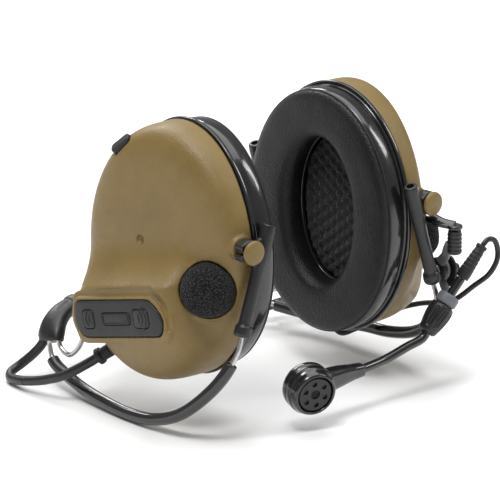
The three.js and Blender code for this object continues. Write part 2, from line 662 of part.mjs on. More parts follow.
// Boom rod: straight through the clamp, then bent down to the microphone.
const onClamp = (s) => clampMiddle.clone().addScaledVector(clampAxis, s);
addMesh(assembly, 'boom_rod', bentRod([
  onClamp(11), onClamp(2), onClamp(-8), onClamp(-15.5), onClamp(-19.5), point(36.3, -49.7, -50.1),
  point(24.3, -49.1, -53.1), point(14.9, -49.1, -54.1), point(10.3, -49.1, -54.4),
], BOOM_ROD_RADIUS, 16, 8), BLACK_PLASTIC);
addMesh(assembly, 'boom_strain_relief', turned([
  [0, 11.3], [2.9, 11.3], [3, 14], [2.5, 20], [2, 26], [2.4, 26.4], [2.4, 27.6], [0, 27.6],
], clampMiddle, clampAxis, 14), RUBBER);

const micMiddle = point(-21.7, -50.5, -55.2);
const micAxis = point(-0.271, -0.945, -0.163).normalize();
addMesh(assembly, 'mic_housing', cut(
  join(
    turned([[0, -6.6], [8.6, -6.6], [10.8, -3.4], [10.8, 1.4], [10.2, 2.2], [9.2, 6.4], [0, 6.4]],
      micMiddle, micAxis, 16),
    sweep([point(10, -49.1, -54.4), point(4.3, -48.9, -54.4), point(-2.7, -49.1, -54.3), point(-11.7, -49.5, -54.5)],
      [2.9, 3.4, 4.4, 5.4], [2.9, 3.2, 3.8, 4.4], upright, 5, 10),
  ),
  turned([[0, 4.4], [8, 4.4], [8, 9], [0, 9]], micMiddle, micAxis, 16),
), BLACK_PLASTIC);

// Grille: a disc with a ring of six round ports about a wider middle one.
const grilleTurn = new THREE.Quaternion().setFromUnitVectors(upright, micAxis);
const portPlaces = Array.from({ length: 6 }, (_, i) => {
  const angle = (i * Math.PI) / 3 + 0.4;
  return point(4.9 * Math.cos(angle), 4.9 * Math.sin(angle), 0).applyQuaternion(grilleTurn).add(micMiddle);
});
addMesh(assembly, 'mic_grille', cut(
  rod(micMiddle, micAxis, 7.6, 4.8, 6, 14),
  rod(micMiddle, micAxis, 2, 3, 8, 8),
  ...portPlaces.map((place) => rod(place, micAxis, 1.15, 3, 8, 6)),
), SATIN_PLASTIC);

const bootEnd = bootBase.clone().addScaledVector(bootAxis, 10.7);
const bootLead = bootBase.clone().addScaledVector(bootAxis, 14);
addMesh(assembly, 'mic_cable', bentRod([
  onClamp(27.9), point(76.4, -57.2, -8.6), point(79.2, -57.4, -8), point(80.6, -58.4, -11.4),
  point(79, -58.8, -17), point(75.6, -57, -22.4), point(72.4, -51.6, -28.4), point(70.6, -43.6, -34.6),
  point(69, -33.6, -41.8), point(65.6, -27.6, -47.4), point(62.4, -21, -52.2), point(59.6, -14.4, -56.6),
  point(57.4, -7, -59.8), point(56, 0.6, -61.8), point(55.2, 7.4, -62.6), point(54.9, 11.6, -61.6),
  cupPoint(1, bootLead.x, -bootLead.y, bootLead.z), cupPoint(1, bootEnd.x, -bootEnd.y, bootEnd.z),
], MIC_CABLE_RADIUS, 28, 8), RUBBER);

export default headset;
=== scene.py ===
"""Neckband radio headset: two oval ear-defender cups, a keypad, spring-wire arms and a boom microphone.

Lengths below are millimetres, measured from the middle point between the two base rings, +Z up, the wearer
facing -Y and the wearer's left at +X. They are turned into metres in the row frame when a piece is made.
"""
import math

import bmesh
import bpy
import numpy as np
from mathutils import Matrix, Vector, noise


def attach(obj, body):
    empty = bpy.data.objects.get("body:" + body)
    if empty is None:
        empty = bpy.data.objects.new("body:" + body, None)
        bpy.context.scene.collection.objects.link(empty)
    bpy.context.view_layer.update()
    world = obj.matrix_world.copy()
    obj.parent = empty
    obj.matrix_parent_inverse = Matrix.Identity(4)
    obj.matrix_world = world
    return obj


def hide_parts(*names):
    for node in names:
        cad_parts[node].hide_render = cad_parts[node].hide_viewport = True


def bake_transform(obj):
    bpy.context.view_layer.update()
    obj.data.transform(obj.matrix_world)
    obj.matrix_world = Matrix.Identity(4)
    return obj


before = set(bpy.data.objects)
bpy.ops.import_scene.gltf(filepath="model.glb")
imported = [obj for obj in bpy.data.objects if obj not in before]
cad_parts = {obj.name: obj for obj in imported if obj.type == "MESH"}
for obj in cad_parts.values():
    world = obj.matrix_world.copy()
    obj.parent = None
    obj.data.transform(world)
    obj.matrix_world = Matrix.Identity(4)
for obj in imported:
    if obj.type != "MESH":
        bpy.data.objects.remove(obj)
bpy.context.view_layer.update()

MM = 0.001
ORIGIN = Vector((0, 14.6, -72.7))
UP = Vector((0, 0, 1))
OUT = Vector((1, 0, 0))
RIGHT = -1
LEFT = 1

# Cups, as in the CAD part.
CUP_OFFSET = 43
CUP_YAW = 2.75
SHELL_HALF_DEPTH = 42.2
SHELL_HALF_HEIGHT = 54.7
FACE_HEIGHT = 20.5
FACE_SLOPE = 0.18
WALL = 3
CAVITY_LIMIT = 17
EDGE_POWER = 5
OPENING_HALF_DEPTH = 19.5
OPENING_HALF_HEIGHT = 32.5
GAP = 0.3

PANEL_HEIGHT = 33.6
PANEL_SLOPE = 0.12
PANEL_FORWARD = -5.5
PANEL_UP = -26.3
PANEL_TURN = 13
PANEL_LENGTH = 53
PANEL_WIDTH = 15.5

PIVOT_OUT = 6
PIVOT_UP = 9.9
SLEEVE_OUT = -1.8
SLEEVE_LEAN = 18
SLEEVE_DEPTH = 46
SLEEVE_STATIONS = [45, 38, 25, 10, -6]
BOSS_BASE = 34
BOSS_TIP = 42
STUD_BASE = 35
WIRE_RADIUS = 1.1
TUBE_RADIUS = 2.7
TUBE_BORE = 1.75
ROD_RADIUS = 2
MIC_CABLE_RADIUS = 1.2
CUP_CABLE_RADIUS = 2.1

# Camera: long lens, seen from the wearer's front right and a little above.
CAMERA_AZIMUTH = -42.5
CAMERA_ELEVATION = 17.5
CAMERA_DISTANCE = 2.2
CAMERA_TARGET = Vector((-0.0069, -0.0125, 0.0627))
CAMERA_LENS = 374
CAMERA_SENSOR = 36

# Stage, in metres and watts: each softbox has a place, a size, a power and the point it faces.
FLOOR_HALF = 12
FLOOR_LEVEL = -0.0004
SKY_STRENGTH = 0.3
LIGHT_TARGET = (0, 0, 0.06)
SOFTBOXES = {
    "top": ((0.1, 0.3, 2.2), (2.6, 2.6), 50, (0.1, 0.3, 0)),
    "key": ((-0.5, -0.25, 1.2), (0.35, 0.35), 6, LIGHT_TARGET),
    "side": ((0.9, -0.7, 0.9), (0.2, 0.6), 4, LIGHT_TARGET),
    "back": ((0.3, 1.1, 0.9), (0.9, 0.3), 8, LIGHT_TARGET),
}

# Surface detail: the unit that shares across the cushion are scaled by, the liner's quilting and the grip.
PROFILE_SCALE = 22
QUILT_PITCH = (6.6, 5.3)
QUILT_DEPTH = 1.15
QUILT_ROWS = 46
KNOB_SLOTS = 8

# Corner steps of a turned profile, the sharp edge angle of fused parts and the spread of a moulding's gloss.
PROFILE_STEPS = 3
MELTED_SHARP = 55
MOULDED_WEAR = 0.06


# ---------------------------------------------------------------- places

def head_matrix():
    """Millimetres about the middle of the cups to metres in the row frame."""
    return Matrix.Scale(MM, 4) @ Matrix.Translation(-ORIGIN)


def cup_matrix(side):
    """Cup frame (x outward, y rearward, z up) to metres in the row frame."""
    turn = Matrix.Rotation(math.radians(side * CUP_YAW), 4, "Z")
    mirror = Matrix.Diagonal((side, 1, 1, 1))
    return head_matrix() @ Matrix.Translation((side * CUP_OFFSET, 0, 0)) @ turn @ mirror


def cup_point(side, outward, rearward, up):
    """A point of a cup's frame, in millimetres about the middle of the cups."""
    turn = Matrix.Rotation(math.radians(side * CUP_YAW), 4, "Z")
    return turn @ Vector((side * outward, rearward, up)) + Vector((side * CUP_OFFSET, 0, 0))


def panel_matrix():
    """Panel frame (x rearward, y up, z out of the panel) to the cup frame."""
    turn = math.radians(PANEL_TURN)
    lean = math.atan(PANEL_SLOPE)
    out = Vector((math.cos(lean), -math.sin(lean), 0))
    rear = Vector((math.sin(lean), math.cos(lean), 0)) * math.cos(turn)
    rear.z = -math.sin(turn)
    up = out.cross(rear)
    place = Matrix((rear, up, out)).transposed().to_4x4()
    place.translation = (PANEL_HEIGHT, -PANEL_FORWARD, PANEL_UP)
    return place


def axis_matrix(base, axis):
    """Turns +Z onto the axis and moves the origin to the base."""
    turn = UP.rotation_difference(Vector(axis).normalized()).to_matrix().to_4x4()
    return Matrix.Translation(base) @ turn


# ---------------------------------------------------------------- mesh making

def mesh_object(name, corners, faces, matrix=None, sharp=40):
    """A new object of that mesh, outward faces, smooth except at edges sharper than the angle."""
    mesh = bpy.data.meshes.new(name)
    mesh.from_pydata([tuple(c) for c in corners], [], faces)
    if matrix is not None:
        mesh.transform(matrix)
    tidy_mesh(mesh, sharp)
    obj = bpy.data.objects.new(name, mesh)
    bpy.context.scene.collection.objects.link(obj)
    return obj


def tidy_mesh(mesh, sharp=40):
    """Turns faces outward and sets smooth shading with sharp edges above the angle."""
    work = bmesh.new()
    work.from_mesh(mesh)
    bmesh.ops.recalc_face_normals(work, faces=work.faces)
    for face in work.faces:
        face.smooth = True
    work.to_mesh(mesh)
    work.free()
    mesh.set_sharp_from_angle(angle=math.radians(sharp))


def grid_faces(rows, columns, wrap_rows):
    """Quads between equal closed rings of that many columns."""
    faces = []
    for r in range(rows if wrap_rows else rows - 1):
        s = (r + 1) % rows
        for c in range(columns):
            d = (c + 1) % columns
            faces.append((r * columns + c, r * columns + d, s * columns + d, s * columns + c))
    return faces


def loft(name, rings, matrix=None, meets=False, sharp=40):
    """Skin over equal closed rings; the ends are capped unless the last ring meets the first."""
    columns = len(rings[0])
    corners = [Vector(c) for ring in rings for c in ring]
    faces = grid_faces(len(rings), columns, meets)
    if not meets:
        for r in (0, len(rings) - 1):
            middle = sum((Vector(c) for c in rings[r]), Vector()) / columns
            corners.append(middle)
            tip = len(corners) - 1
            faces += [(r * columns + c, r * columns + (c + 1) % columns, tip) for c in range(columns)]
    return mesh_object(name, corners, faces, matrix, sharp)


def rounded(profile, radius):
    """The profile (radius, height) with each inner corner rounded off."""
    result = [Vector(profile[0])]
    for before, corner, after in zip(profile, profile[1:], profile[2:]):
        before, corner, after = Vector(before), Vector(corner), Vector(after)
        reach = min(radius, (before - corner).length * 0.45, (after - corner).length * 0.45)
        start = corner + (before - corner).normalized() * reach
        end = corner + (after - corner).normalized() * reach
        for i in range(PROFILE_STEPS + 1):
            t = i / PROFILE_STEPS
            result.append(start * (1 - t) ** 2 + corner * 2 * t * (1 - t) + end * t ** 2)
    result.append(Vector(profile[-1]))
    return result


def turned(name, profile, base, axis, matrix=None, segments=48, radius=0.35, sharp=50, meets=False):
    """Turned body: the profile lists radius and height, with its corners rounded."""
    rows = rounded(profile, radius)
    place = axis_matrix(base, axis)
    rings = []
    for row in rows:
        ring = []
        for i in range(segments):
            angle = 2 * math.pi * i / segments
            ring.append(place @ Vector((row.x * math.cos(angle), row.x * math.sin(angle), row.y)))
        rings.append(ring)
    if meets:
        rings = rings[:-1]
    obj = loft(name, rings, matrix, meets, sharp)
    weld(obj.data, 1e-6 if matrix is not None else 1e-4)
    tidy_mesh(obj.data, sharp)
    return obj


def cylinder(name, reach, low, high, base, axis, *rest, **more):
    """Turned body of one radius between two heights."""
    return turned(name, [(0, low), (reach, low), (reach, high), (0, high)], base, axis, *rest, **more)


def weld(mesh, distance):
    """Joins corners that fall on each other, as they do on a turning axis."""
    work = bmesh.new()
    work.from_mesh(mesh)
    bmesh.ops.remove_doubles(work, verts=work.verts, dist=distance)
    bmesh.ops.dissolve_degenerate(work, edges=work.edges, dist=distance)
    work.to_mesh(mesh)
    work.free()


def spline(points, spacing):
    """Evenly spaced points on the centripetal Catmull-Rom curve through the points, and where each falls."""
    points = [Vector(p) for p in points]
    padded = [points[0] * 2 - points[1]] + points + [points[-1] * 2 - points[-2]]
    dense = []
    places = []
    for i in range(len(points) - 1):
        p0, p1, p2, p3 = padded[i:i + 4]
        d0 = max((p1 - p0).length ** 0.5, 1e-6)
        d1 = max((p2 - p1).length ** 0.5, 1e-6)
        d2 = max((p3 - p2).length ** 0.5, 1e-6)
        m1 = ((p1 - p0) / d0 - (p2 - p0) / (d0 + d1) + (p2 - p1) / d1) * d1
        m2 = ((p2 - p1) / d1 - (p3 - p1) / (d1 + d2) + (p3 - p2) / d2) * d1
        last = i == len(points) - 2
        for k in range(25 if last else 24):
            t = k / 24
            a = 2 * t ** 3 - 3 * t ** 2 + 1
            b = t ** 3 - 2 * t ** 2 + t
            c = 3 * t ** 2 - 2 * t ** 3
            d = t ** 3 - t ** 2
            dense.append(p1 * a + m1 * b + p2 * c + m2 * d)
            places.append(i + t)
    lengths = [0]
    for a, b in zip(dense, dense[1:]):
        lengths.append(lengths[-1] + (b - a).length)
    count = max(2, round(lengths[-1] / spacing) + 1)
    wanted = np.linspace(0, lengths[-1], count)
    axes = [np.interp(wanted, lengths, [p[k] for p in dense]) for k in range(3)]
    return [Vector(p) for p in zip(*axes)], np.interp(wanted, lengths, places)


def frames_along(points):
    """Two directions across the path at each point, carried along without twist."""
    across = None
    result = []
    for i in range(len(points)):
        along = (points[min(i + 1, len(points) - 1)] - points[max(i - 1, 0)]).normalized()
        if across is None:
            across = along.orthogonal().normalized()
        across = (across - along * across.dot(along)).normalized()
        result.append((across.copy(), along.cross(across)))
    return result


def tube(name, points, radius, spacing=0.8, sides=20, bore=0, matrix=None, resample=True):
    """Round tube or wire along the curve through the points, with rounded ends and an optional bore.

    Without resample the points are taken as they are, because they already lie on the curve.
    """
    path = spline(points, spacing)[0] if resample else [Vector(p) for p in points]
    across = frames_along(path)
    rings = []

    def ring(i, r, shift=0):
        a, b = across[i]
        along = a.cross(b)
        middle = path[i] + along * shift
        return [middle + (a * math.cos(2 * math.pi * k / sides) + b * math.sin(2 * math.pi * k / sides)) * r
                for k in range(sides)]

    soft = min(0.35, radius * 0.3)
    last = len(path) - 1
    for turn in (0, 45, 90):
        s = math.sin(math.radians(turn))
        rings.append(ring(0, radius - soft * (1 - s), soft * (1 - math.cos(math.radians(turn)))))
    for i in range(1, last):
        rings.append(ring(i, radius))
    for turn in (90, 45, 0):
        s = math.sin(math.radians(turn))
        rings.append(ring(last, radius - soft * (1 - s), -soft * (1 - math.cos(math.radians(turn)))))
    if bore:
        for i in range(last, -1, -1):
            rings.append(ring(i, bore))
        return loft(name, rings, matrix or head_matrix(), True, 60)
    return loft(name, rings, matrix or head_matrix(), False, 60)


def sweep(name, points, half_widths, half_thicknesses, width_direction, matrix=None, sides=32, spacing=0.7,
          power=2.0, soft=0.6):
    """Oval section swept along points; each point has its half width and half thickness."""
    path, places = spline(points, spacing)
    width_direction = Vector(width_direction)
    stations = range(len(points))
    widths = np.interp(places, stations, half_widths)
    thicknesses = np.interp(places, stations, half_thicknesses)
    rings = []
    last = len(path) - 1
    rows = [(0, 1 - soft / min(widths[0], thicknesses[0]), 0), (0, 0.97, 0.25 * soft)]
    rows += [(i, 1, 0) for i in range(1, last)]
    rows += [(last, 0.97, -0.25 * soft), (last, 1 - soft / min(widths[-1], thicknesses[-1]), 0)]
    for i, scale, shift in rows:
        along = (path[min(i + 1, last)] - path[max(i - 1, 0)]).normalized()
        wide = (width_direction - along * width_direction.dot(along)).normalized()
        thin = along.cross(wide)
        ring = []
        for k in range(sides):
            c = math.cos(2 * math.pi * k / sides)
            s = math.sin(2 * math.pi * k / sides)
            cx = math.copysign(abs(c) ** (2 / power), c)
            sy = math.copysign(abs(s) ** (2 / power), s)
            ring.append(path[i] + along * shift + wide * (widths[i] * scale * cx)
                        + thin * (thicknesses[i] * scale * sy))
        rings.append(ring)
    return loft(name, rings, matrix, False, 50)


def plate(name, outline, low, high, matrix=None, bevel=0.5, steps=2):
    """Plate of the outline between two heights with rounded upper and lower edges."""
    rings = []
    rows = []
    for i in range(steps + 1):
        turn = math.pi / 2 * i / steps
        rows.append((bevel * (1 - math.sin(turn)), low + bevel * (1 - math.cos(turn))))
    rows += [(inset, high - (z - low)) for inset, z in reversed(rows)]
    for inset, z in rows:
        rings.append([Vector((p.x, p.y, z)) for p in inset_outline(outline, inset)])
    return loft(name, rings, matrix, False, 50)


def inset_outline(outline, inset):
    """The outline moved inward by the inset; it runs anticlockwise."""
    result = []
    count = len(outline)
    for i in range(count):
        before, here, after = (Vector(outline[(i + k) % count]) for k in (-1, 0, 1))
        first = (here - before).normalized()
        second = (after - here).normalized()
        inward = Vector((-first.y - second.y, first.x + second.x))
        inward = inward.normalized() / max(0.4, math.sqrt(max(0.01, (1 + first.dot(second)) / 2)))
        result.append(here + inward * inset)
    return result


def soft_outline(corners, radius, steps=5):
    """The closed outline with its corners rounded."""
    result = []
    count = len(corners)
    for i in range(count):
        before, corner, after = (Vector(corners[(i + k) % count]) for k in (-1, 0, 1))
        reach = min(radius, (before - corner).length * 0.45, (after - corner).length * 0.45)
        start = corner + (before - corner).normalized() * reach
        end = corner + (after - corner).normalized() * reach
        for k in range(steps + 1):
            t = k / steps
            result.append(start * (1 - t) ** 2 + corner * 2 * t * (1 - t) + end * t ** 2)
    return result


def bar_outline(width, height, radius, x=0):
    corners = [(x + width / 2, -height / 2), (x + width / 2, height / 2),
               (x - width / 2, height / 2), (x - width / 2, -height / 2)]
    return soft_outline(corners, radius)


# ---------------------------------------------------------------- mesh joining

def evaluated_mesh(obj):
    """The object's mesh with its modifiers applied."""
    graph = bpy.context.evaluated_depsgraph_get()
    return bpy.data.meshes.new_from_object(obj.evaluated_get(graph))


def discard(*objs):
    for obj in objs:
        mesh = obj.data
        bpy.data.objects.remove(obj)
        bpy.data.meshes.remove(mesh)


def settle(obj, sharp=40):
    """Applies the object's modifiers."""
    mesh = evaluated_mesh(obj)
    old = obj.data
    obj.modifiers.clear()
    obj.data = mesh
    bpy.data.meshes.remove(old)
    tidy_mesh(mesh, sharp)
    return obj


def merged(name, objs):
    """One object holding all the meshes; the parts may overlap."""
    work = bmesh.new()
    for obj in objs:
        work.from_mesh(obj.data)
    mesh = bpy.data.meshes.new(name)
    work.to_mesh(mesh)
    work.free()
    whole = bpy.data.objects.new(name, mesh)
    bpy.context.scene.collection.objects.link(whole)
    discard(*objs)
    return whole


def cut(obj, tools):
    """Takes the tools' shapes out of the object."""
    for tool in tools:
        change = obj.modifiers.new("cut", "BOOLEAN")
        change.operation = "DIFFERENCE"
        change.solver = "EXACT"
        change.object = tool
        settle(obj)
        discard(tool)
    return obj


def melt(obj, voxel, passes):
    """Fuses overlapping parts into one even skin with small fillets."""
    remesh = obj.modifiers.new("skin", "REMESH")
    remesh.mode = "VOXEL"
    remesh.voxel_size = voxel
    settle(obj)
    if passes:
        soften = obj.modifiers.new("soften", "SMOOTH")
        soften.factor = 0.5
        soften.iterations = passes
        settle(obj, MELTED_SHARP)
    return obj


def moved(obj, matrix):
    """Moves the object's mesh, keeping faces outward when the matrix mirrors."""
    obj.data.transform(matrix)
    if matrix.determinant() < 0:
        obj.data.flip_normals()
    return obj


def copied(obj, name):
    twin = obj.copy()
    twin.data = obj.data.copy()
    twin.name = name
    bpy.context.scene.collection.objects.link(twin)
    return twin


# ---------------------------------------------------------------- materials

def start_material(name, color, roughness, metallic=0.0, coat=0.0, coat_roughness=0.1, specular=0.5,
                   sheen=0.0):
    material = bpy.data.materials.new(name)
    material.use_nodes = True
    shader = material.node_tree.nodes["Principled BSDF"]
    shader.inputs["Base Color"].default_value = (*color, 1)
    shader.inputs["Roughness"].default_value = roughness
    shader.inputs["Metallic"].default_value = metallic
    shader.inputs["Coat Weight"].default_value = coat
    shader.inputs["Coat Roughness"].default_value = coat_roughness
    shader.inputs["Specular IOR Level"].default_value = specular
    shader.inputs["Sheen Weight"].default_value = sheen
    return material, material.node_tree, shader


def noise_node(tree, scale, detail=2.0, rough=0.5, stretch=None):
    """Noise over the object's own coordinates, in metres, so scale is in waves per metre."""
    place = tree.nodes.new("ShaderNodeTexCoord")
    source = place.outputs["Object"]
    if stretch is not None:
        mapping = tree.nodes.new("ShaderNodeMapping")
        mapping.inputs["Scale"].default_value = stretch
        tree.links.new(source, mapping.inputs["Vector"])
        source = mapping.outputs["Vector"]
    node = tree.nodes.new("ShaderNodeTexNoise")
    node.inputs["Scale"].default_value = scale
    node.inputs["Detail"].default_value = detail
    node.inputs["Roughness"].default_value = rough
    tree.links.new(source, node.inputs["Vector"])
    return node.outputs["Fac"]


def voronoi_node(tree, scale, feature="F1"):
    place = tree.nodes.new("ShaderNodeTexCoord")
    node = tree.nodes.new("ShaderNodeTexVoronoi")
    node.feature = feature
    node.inputs["Scale"].default_value = scale
    tree.links.new(place.outputs["Object"], node.inputs["Vector"])
    return node.outputs["Distance"]


def spread(tree, source, low, high):
    """The source's middle range stretched from low to high."""
    node = tree.nodes.new("ShaderNodeMapRange")
    node.inputs["From Min"].default_value = 0.3
    node.inputs["From Max"].default_value = 0.7
    node.inputs["To Min"].default_value = low
    node.inputs["To Max"].default_value = high
    tree.links.new(source, node.inputs["Value"])
    return node.outputs["Result"]


def tint(tree, shader, source, dark, light, start=0.3, end=0.7):
    """Base colour running from dark to light with the source."""
    ramp = tree.nodes.new("ShaderNodeValToRGB")
    ramp.color_ramp.elements[0].position = start
    ramp.color_ramp.elements[0].color = (*dark, 1)
    ramp.color_ramp.elements[1].position = end
    ramp.color_ramp.elements[1].color = (*light, 1)
    tree.links.new(source, ramp.inputs["Fac"])
    tree.links.new(ramp.outputs["Color"], shader.inputs["Base Color"])


def bumps(tree, shader, layers):
    """Stacked bumps; each layer is (height source, depth in metres, strength)."""
    below = None
    for source, depth, strength in layers:
        node = tree.nodes.new("ShaderNodeBump")
        node.inputs["Strength"].default_value = strength
        node.inputs["Distance"].default_value = depth
        tree.links.new(source, node.inputs["Height"])
        if below is not None:
            tree.links.new(below, node.inputs["Normal"])
        below = node.outputs["Normal"]
    tree.links.new(below, shader.inputs["Normal"])


def moulded(name, dark, light, roughness, grain_scale, grain_depth, coat=0.0, specular=0.5):
    """Moulded plastic: slight colour drift, fine eroded grain and patches handled smoother."""
    material, tree, shader = start_material(name, light, roughness, coat=coat, coat_roughness=0.15,
                                            specular=specular)
    drift = noise_node(tree, 45, 4, 0.55)
    tint(tree, shader, drift, dark, light)
    patches = noise_node(tree, 120, 3, 0.6)
    tree.links.new(spread(tree, patches, roughness - MOULDED_WEAR, roughness + MOULDED_WEAR),
                   shader.inputs["Roughness"])
    grain = noise_node(tree, grain_scale, 3, 0.65)
    waves = noise_node(tree, 90, 1, 0.4)
    bumps(tree, shader, [(grain, grain_depth, 0.7), (waves, 0.0002, 0.08)])
    return material


def khaki_material():
    """Coyote-brown nylon with a fine spark-eroded grain."""
    material, tree, shader = start_material("khaki_plastic", (0.2, 0.138, 0.038), 0.4, specular=0.5)
    drift = noise_node(tree, 60, 5, 0.6)
    tint(tree, shader, drift, (0.172, 0.113, 0.03), (0.212, 0.14, 0.04))
    patches = noise_node(tree, 300, 3, 0.6)
    tree.links.new(spread(tree, patches, 0.36, 0.5), shader.inputs["Roughness"])
    grain = voronoi_node(tree, 1700)
    fine = noise_node(tree, 3200, 2, 0.6)
    bumps(tree, shader, [(grain, 0.0002, 0.5), (fine, 0.0001, 0.45)])
    return material


def gloss_material():
    """Glossy black moulding with the faint waviness and hazing of a handled part."""
    material, tree, shader = start_material("gloss_black", (0.009, 0.009, 0.01), 0.16, coat=0.5,
                                            coat_roughness=0.06)
    drift = noise_node(tree, 80, 3, 0.5)
    tint(tree, shader, drift, (0.007, 0.007, 0.008), (0.014, 0.014, 0.015))
    haze = noise_node(tree, 260, 5, 0.7)
    tree.links.new(spread(tree, haze, 0.13, 0.26), shader.inputs["Roughness"])
    waves = noise_node(tree, 140, 2, 0.4)
    scratches = noise_node(tree, 900, 4, 0.7, (1, 0.12, 1))
    bumps(tree, shader, [(waves, 0.0003, 0.1), (scratches, 0.00003, 0.12)])
    return material


def cushion_material():
    """Soft artificial leather: pebbled grain whose tops catch the light."""
    material, tree, shader = start_material("cushion_skin", (0.008, 0.008, 0.009), 0.42, specular=0.38)
    drift = noise_node(tree, 70, 4, 0.6)
    tint(tree, shader, drift, (0.0055, 0.0055, 0.006), (0.010, 0.010, 0.011))
    pebble = voronoi_node(tree, 1500)
    fine = noise_node(tree, 2600, 3, 0.7)
    folds = noise_node(tree, 240, 4, 0.6)
    tree.links.new(spread(tree, fine, 0.26, 0.55), shader.inputs["Roughness"])
    bumps(tree, shader, [(folds, 0.0004, 0.22), (pebble, 0.00025, 0.85), (fine, 0.0001, 0.6)])
    return material


def foam_material():
    """Open-cell foam: pores darkened with painted shade between rough walls lightened with painted light."""
    material, tree, shader = start_material("foam", (0.02, 0.02, 0.022), 0.95, specular=0.2, sheen=0.05)
    shader.inputs["Sheen Roughness"].default_value = 0.6
    pores = voronoi_node(tree, 1500)
    # Base colour is painted light and shade: lighter on the cell walls, darker into the pores.
    tint(tree, shader, pores, (0.075, 0.075, 0.08), (0.004, 0.004, 0.005), 0.08, 0.5)
    fine = noise_node(tree, 2400, 4, 0.75)
    lumps = noise_node(tree, 420, 3, 0.6)
    bumps(tree, shader, [(lumps, 0.0005, 0.35), (pores, 0.0006, 0.9), (fine, 0.0003, 0.8)])
    return material


def liner_material():
    """Black foam sheet covered with a knitted net."""
    material, tree, shader = start_material("liner_net", (0.016, 0.016, 0.018), 0.8, specular=0.4, sheen=0.2)
    cells = voronoi_node(tree, 1400)
    tint(tree, shader, cells, (0.030, 0.030, 0.033), (0.006, 0.006, 0.007), 0.1, 0.7)
    knit = voronoi_node(tree, 2300)
    fine = noise_node(tree, 3000, 3, 0.7)
    tree.links.new(spread(tree, fine, 0.6, 0.95), shader.inputs["Roughness"])
    bumps(tree, shader, [(cells, 0.0004, 0.8), (knit, 0.0002, 0.6), (fine, 0.0001, 0.6)])
    return material


def steel_material():
    """Drawn spring steel: fine lines along it and slight discolouring."""
    material, tree, shader = start_material("steel", (0.55, 0.54, 0.52), 0.28, metallic=1.0)
    drift = noise_node(tree, 160, 4, 0.6)
    tint(tree, shader, drift, (0.42, 0.41, 0.39), (0.62, 0.61, 0.6))
    lines = noise_node(tree, 2200, 3, 0.7, (1, 1, 0.08))
    tree.links.new(spread(tree, lines, 0.2, 0.38), shader.inputs["Roughness"])
    bumps(tree, shader, [(lines, 0.00004, 0.3)])
    return material


def board_material():
    """Solder-masked board with faint tracks and pale pads."""
    material, tree, shader = start_material("board_green", (0.02, 0.12, 0.05), 0.35)
    tracks = voronoi_node(tree, 420, "DISTANCE_TO_EDGE")
    tint(tree, shader, tracks, (0.05, 0.2, 0.08), (0.012, 0.09, 0.035), 0.02, 0.08)
    bumps(tree, shader, [(tracks, 0.00005, 0.4)])
    return material


KHAKI = khaki_material()
GLOSS = gloss_material()
SATIN = moulded("satin_black", (0.009, 0.009, 0.01), (0.016, 0.016, 0.0172), 0.36, 2400, 0.00007)
GREY = moulded("grey_plastic", (0.12, 0.128, 0.14), (0.16, 0.17, 0.184), 0.42, 2400, 0.00006)
RUBBER = moulded("rubber", (0.010, 0.010, 0.011), (0.017, 0.017, 0.0185), 0.5, 2800, 0.00008, specular=0.45)
KEY_RUBBER = moulded("key_rubber", (0.010, 0.0102, 0.011), (0.018, 0.0184, 0.0195), 0.46, 2600, 0.0001,
                     specular=0.45)
CABLE = moulded("cable_jacket", (0.008, 0.008, 0.009), (0.014, 0.014, 0.015), 0.34, 1800, 0.00008)
SKIN = cushion_material()
FOAM = foam_material()
LINER = liner_material()
STEEL = steel_material()
BOARD = board_material()
JACKET = moulded("battery_jacket", (0.05, 0.055, 0.062), (0.09, 0.095, 0.105), 0.25, 900, 0.00003, coat=0.3)


def dress(obj, material):
    """Gives the object one material."""
    obj.data.materials.clear()
    obj.data.materials.append(material)
    return obj


def stands_for(obj, material, slot, body, *nodes):
    """A finished piece that replaces CAD nodes and rides on their body."""
    dress(obj, material)
    if nodes:
        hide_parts(*nodes)
    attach(obj, body)
    return obj


# ---------------------------------------------------------------- camera, floor and light

def make_camera():
    azimuth = math.radians(CAMERA_AZIMUTH)
    elevation = math.radians(CAMERA_ELEVATION)
    back = Vector((math.sin(azimuth) * math.cos(elevation), -math.cos(azimuth) * math.cos(elevation),
                   math.sin(elevation)))
    data = bpy.data.cameras.new("camera")
    data.lens = CAMERA_LENS
    data.sensor_width = CAMERA_SENSOR
    data.clip_start = 0.05
    data.clip_end = 50
    camera = bpy.data.objects.new("camera", data)
    camera.location = CAMERA_TARGET + back * CAMERA_DISTANCE
    camera.rotation_euler = (-back).to_track_quat("-Z", "Y").to_euler()
    bpy.context.scene.collection.objects.link(camera)
    bpy.context.scene.camera = camera


def soft_light(name, place, size, power, target):
    data = bpy.data.lights.new(name, "AREA")
    data.shape = "RECTANGLE"
    data.size, data.size_y = size
    data.energy = power
    light = bpy.data.objects.new(name, data)
    light.location = place
    light.rotation_euler = (Vector(target) - Vector(place)).to_track_quat("-Z", "Y").to_euler()
    bpy.context.scene.collection.objects.link(light)


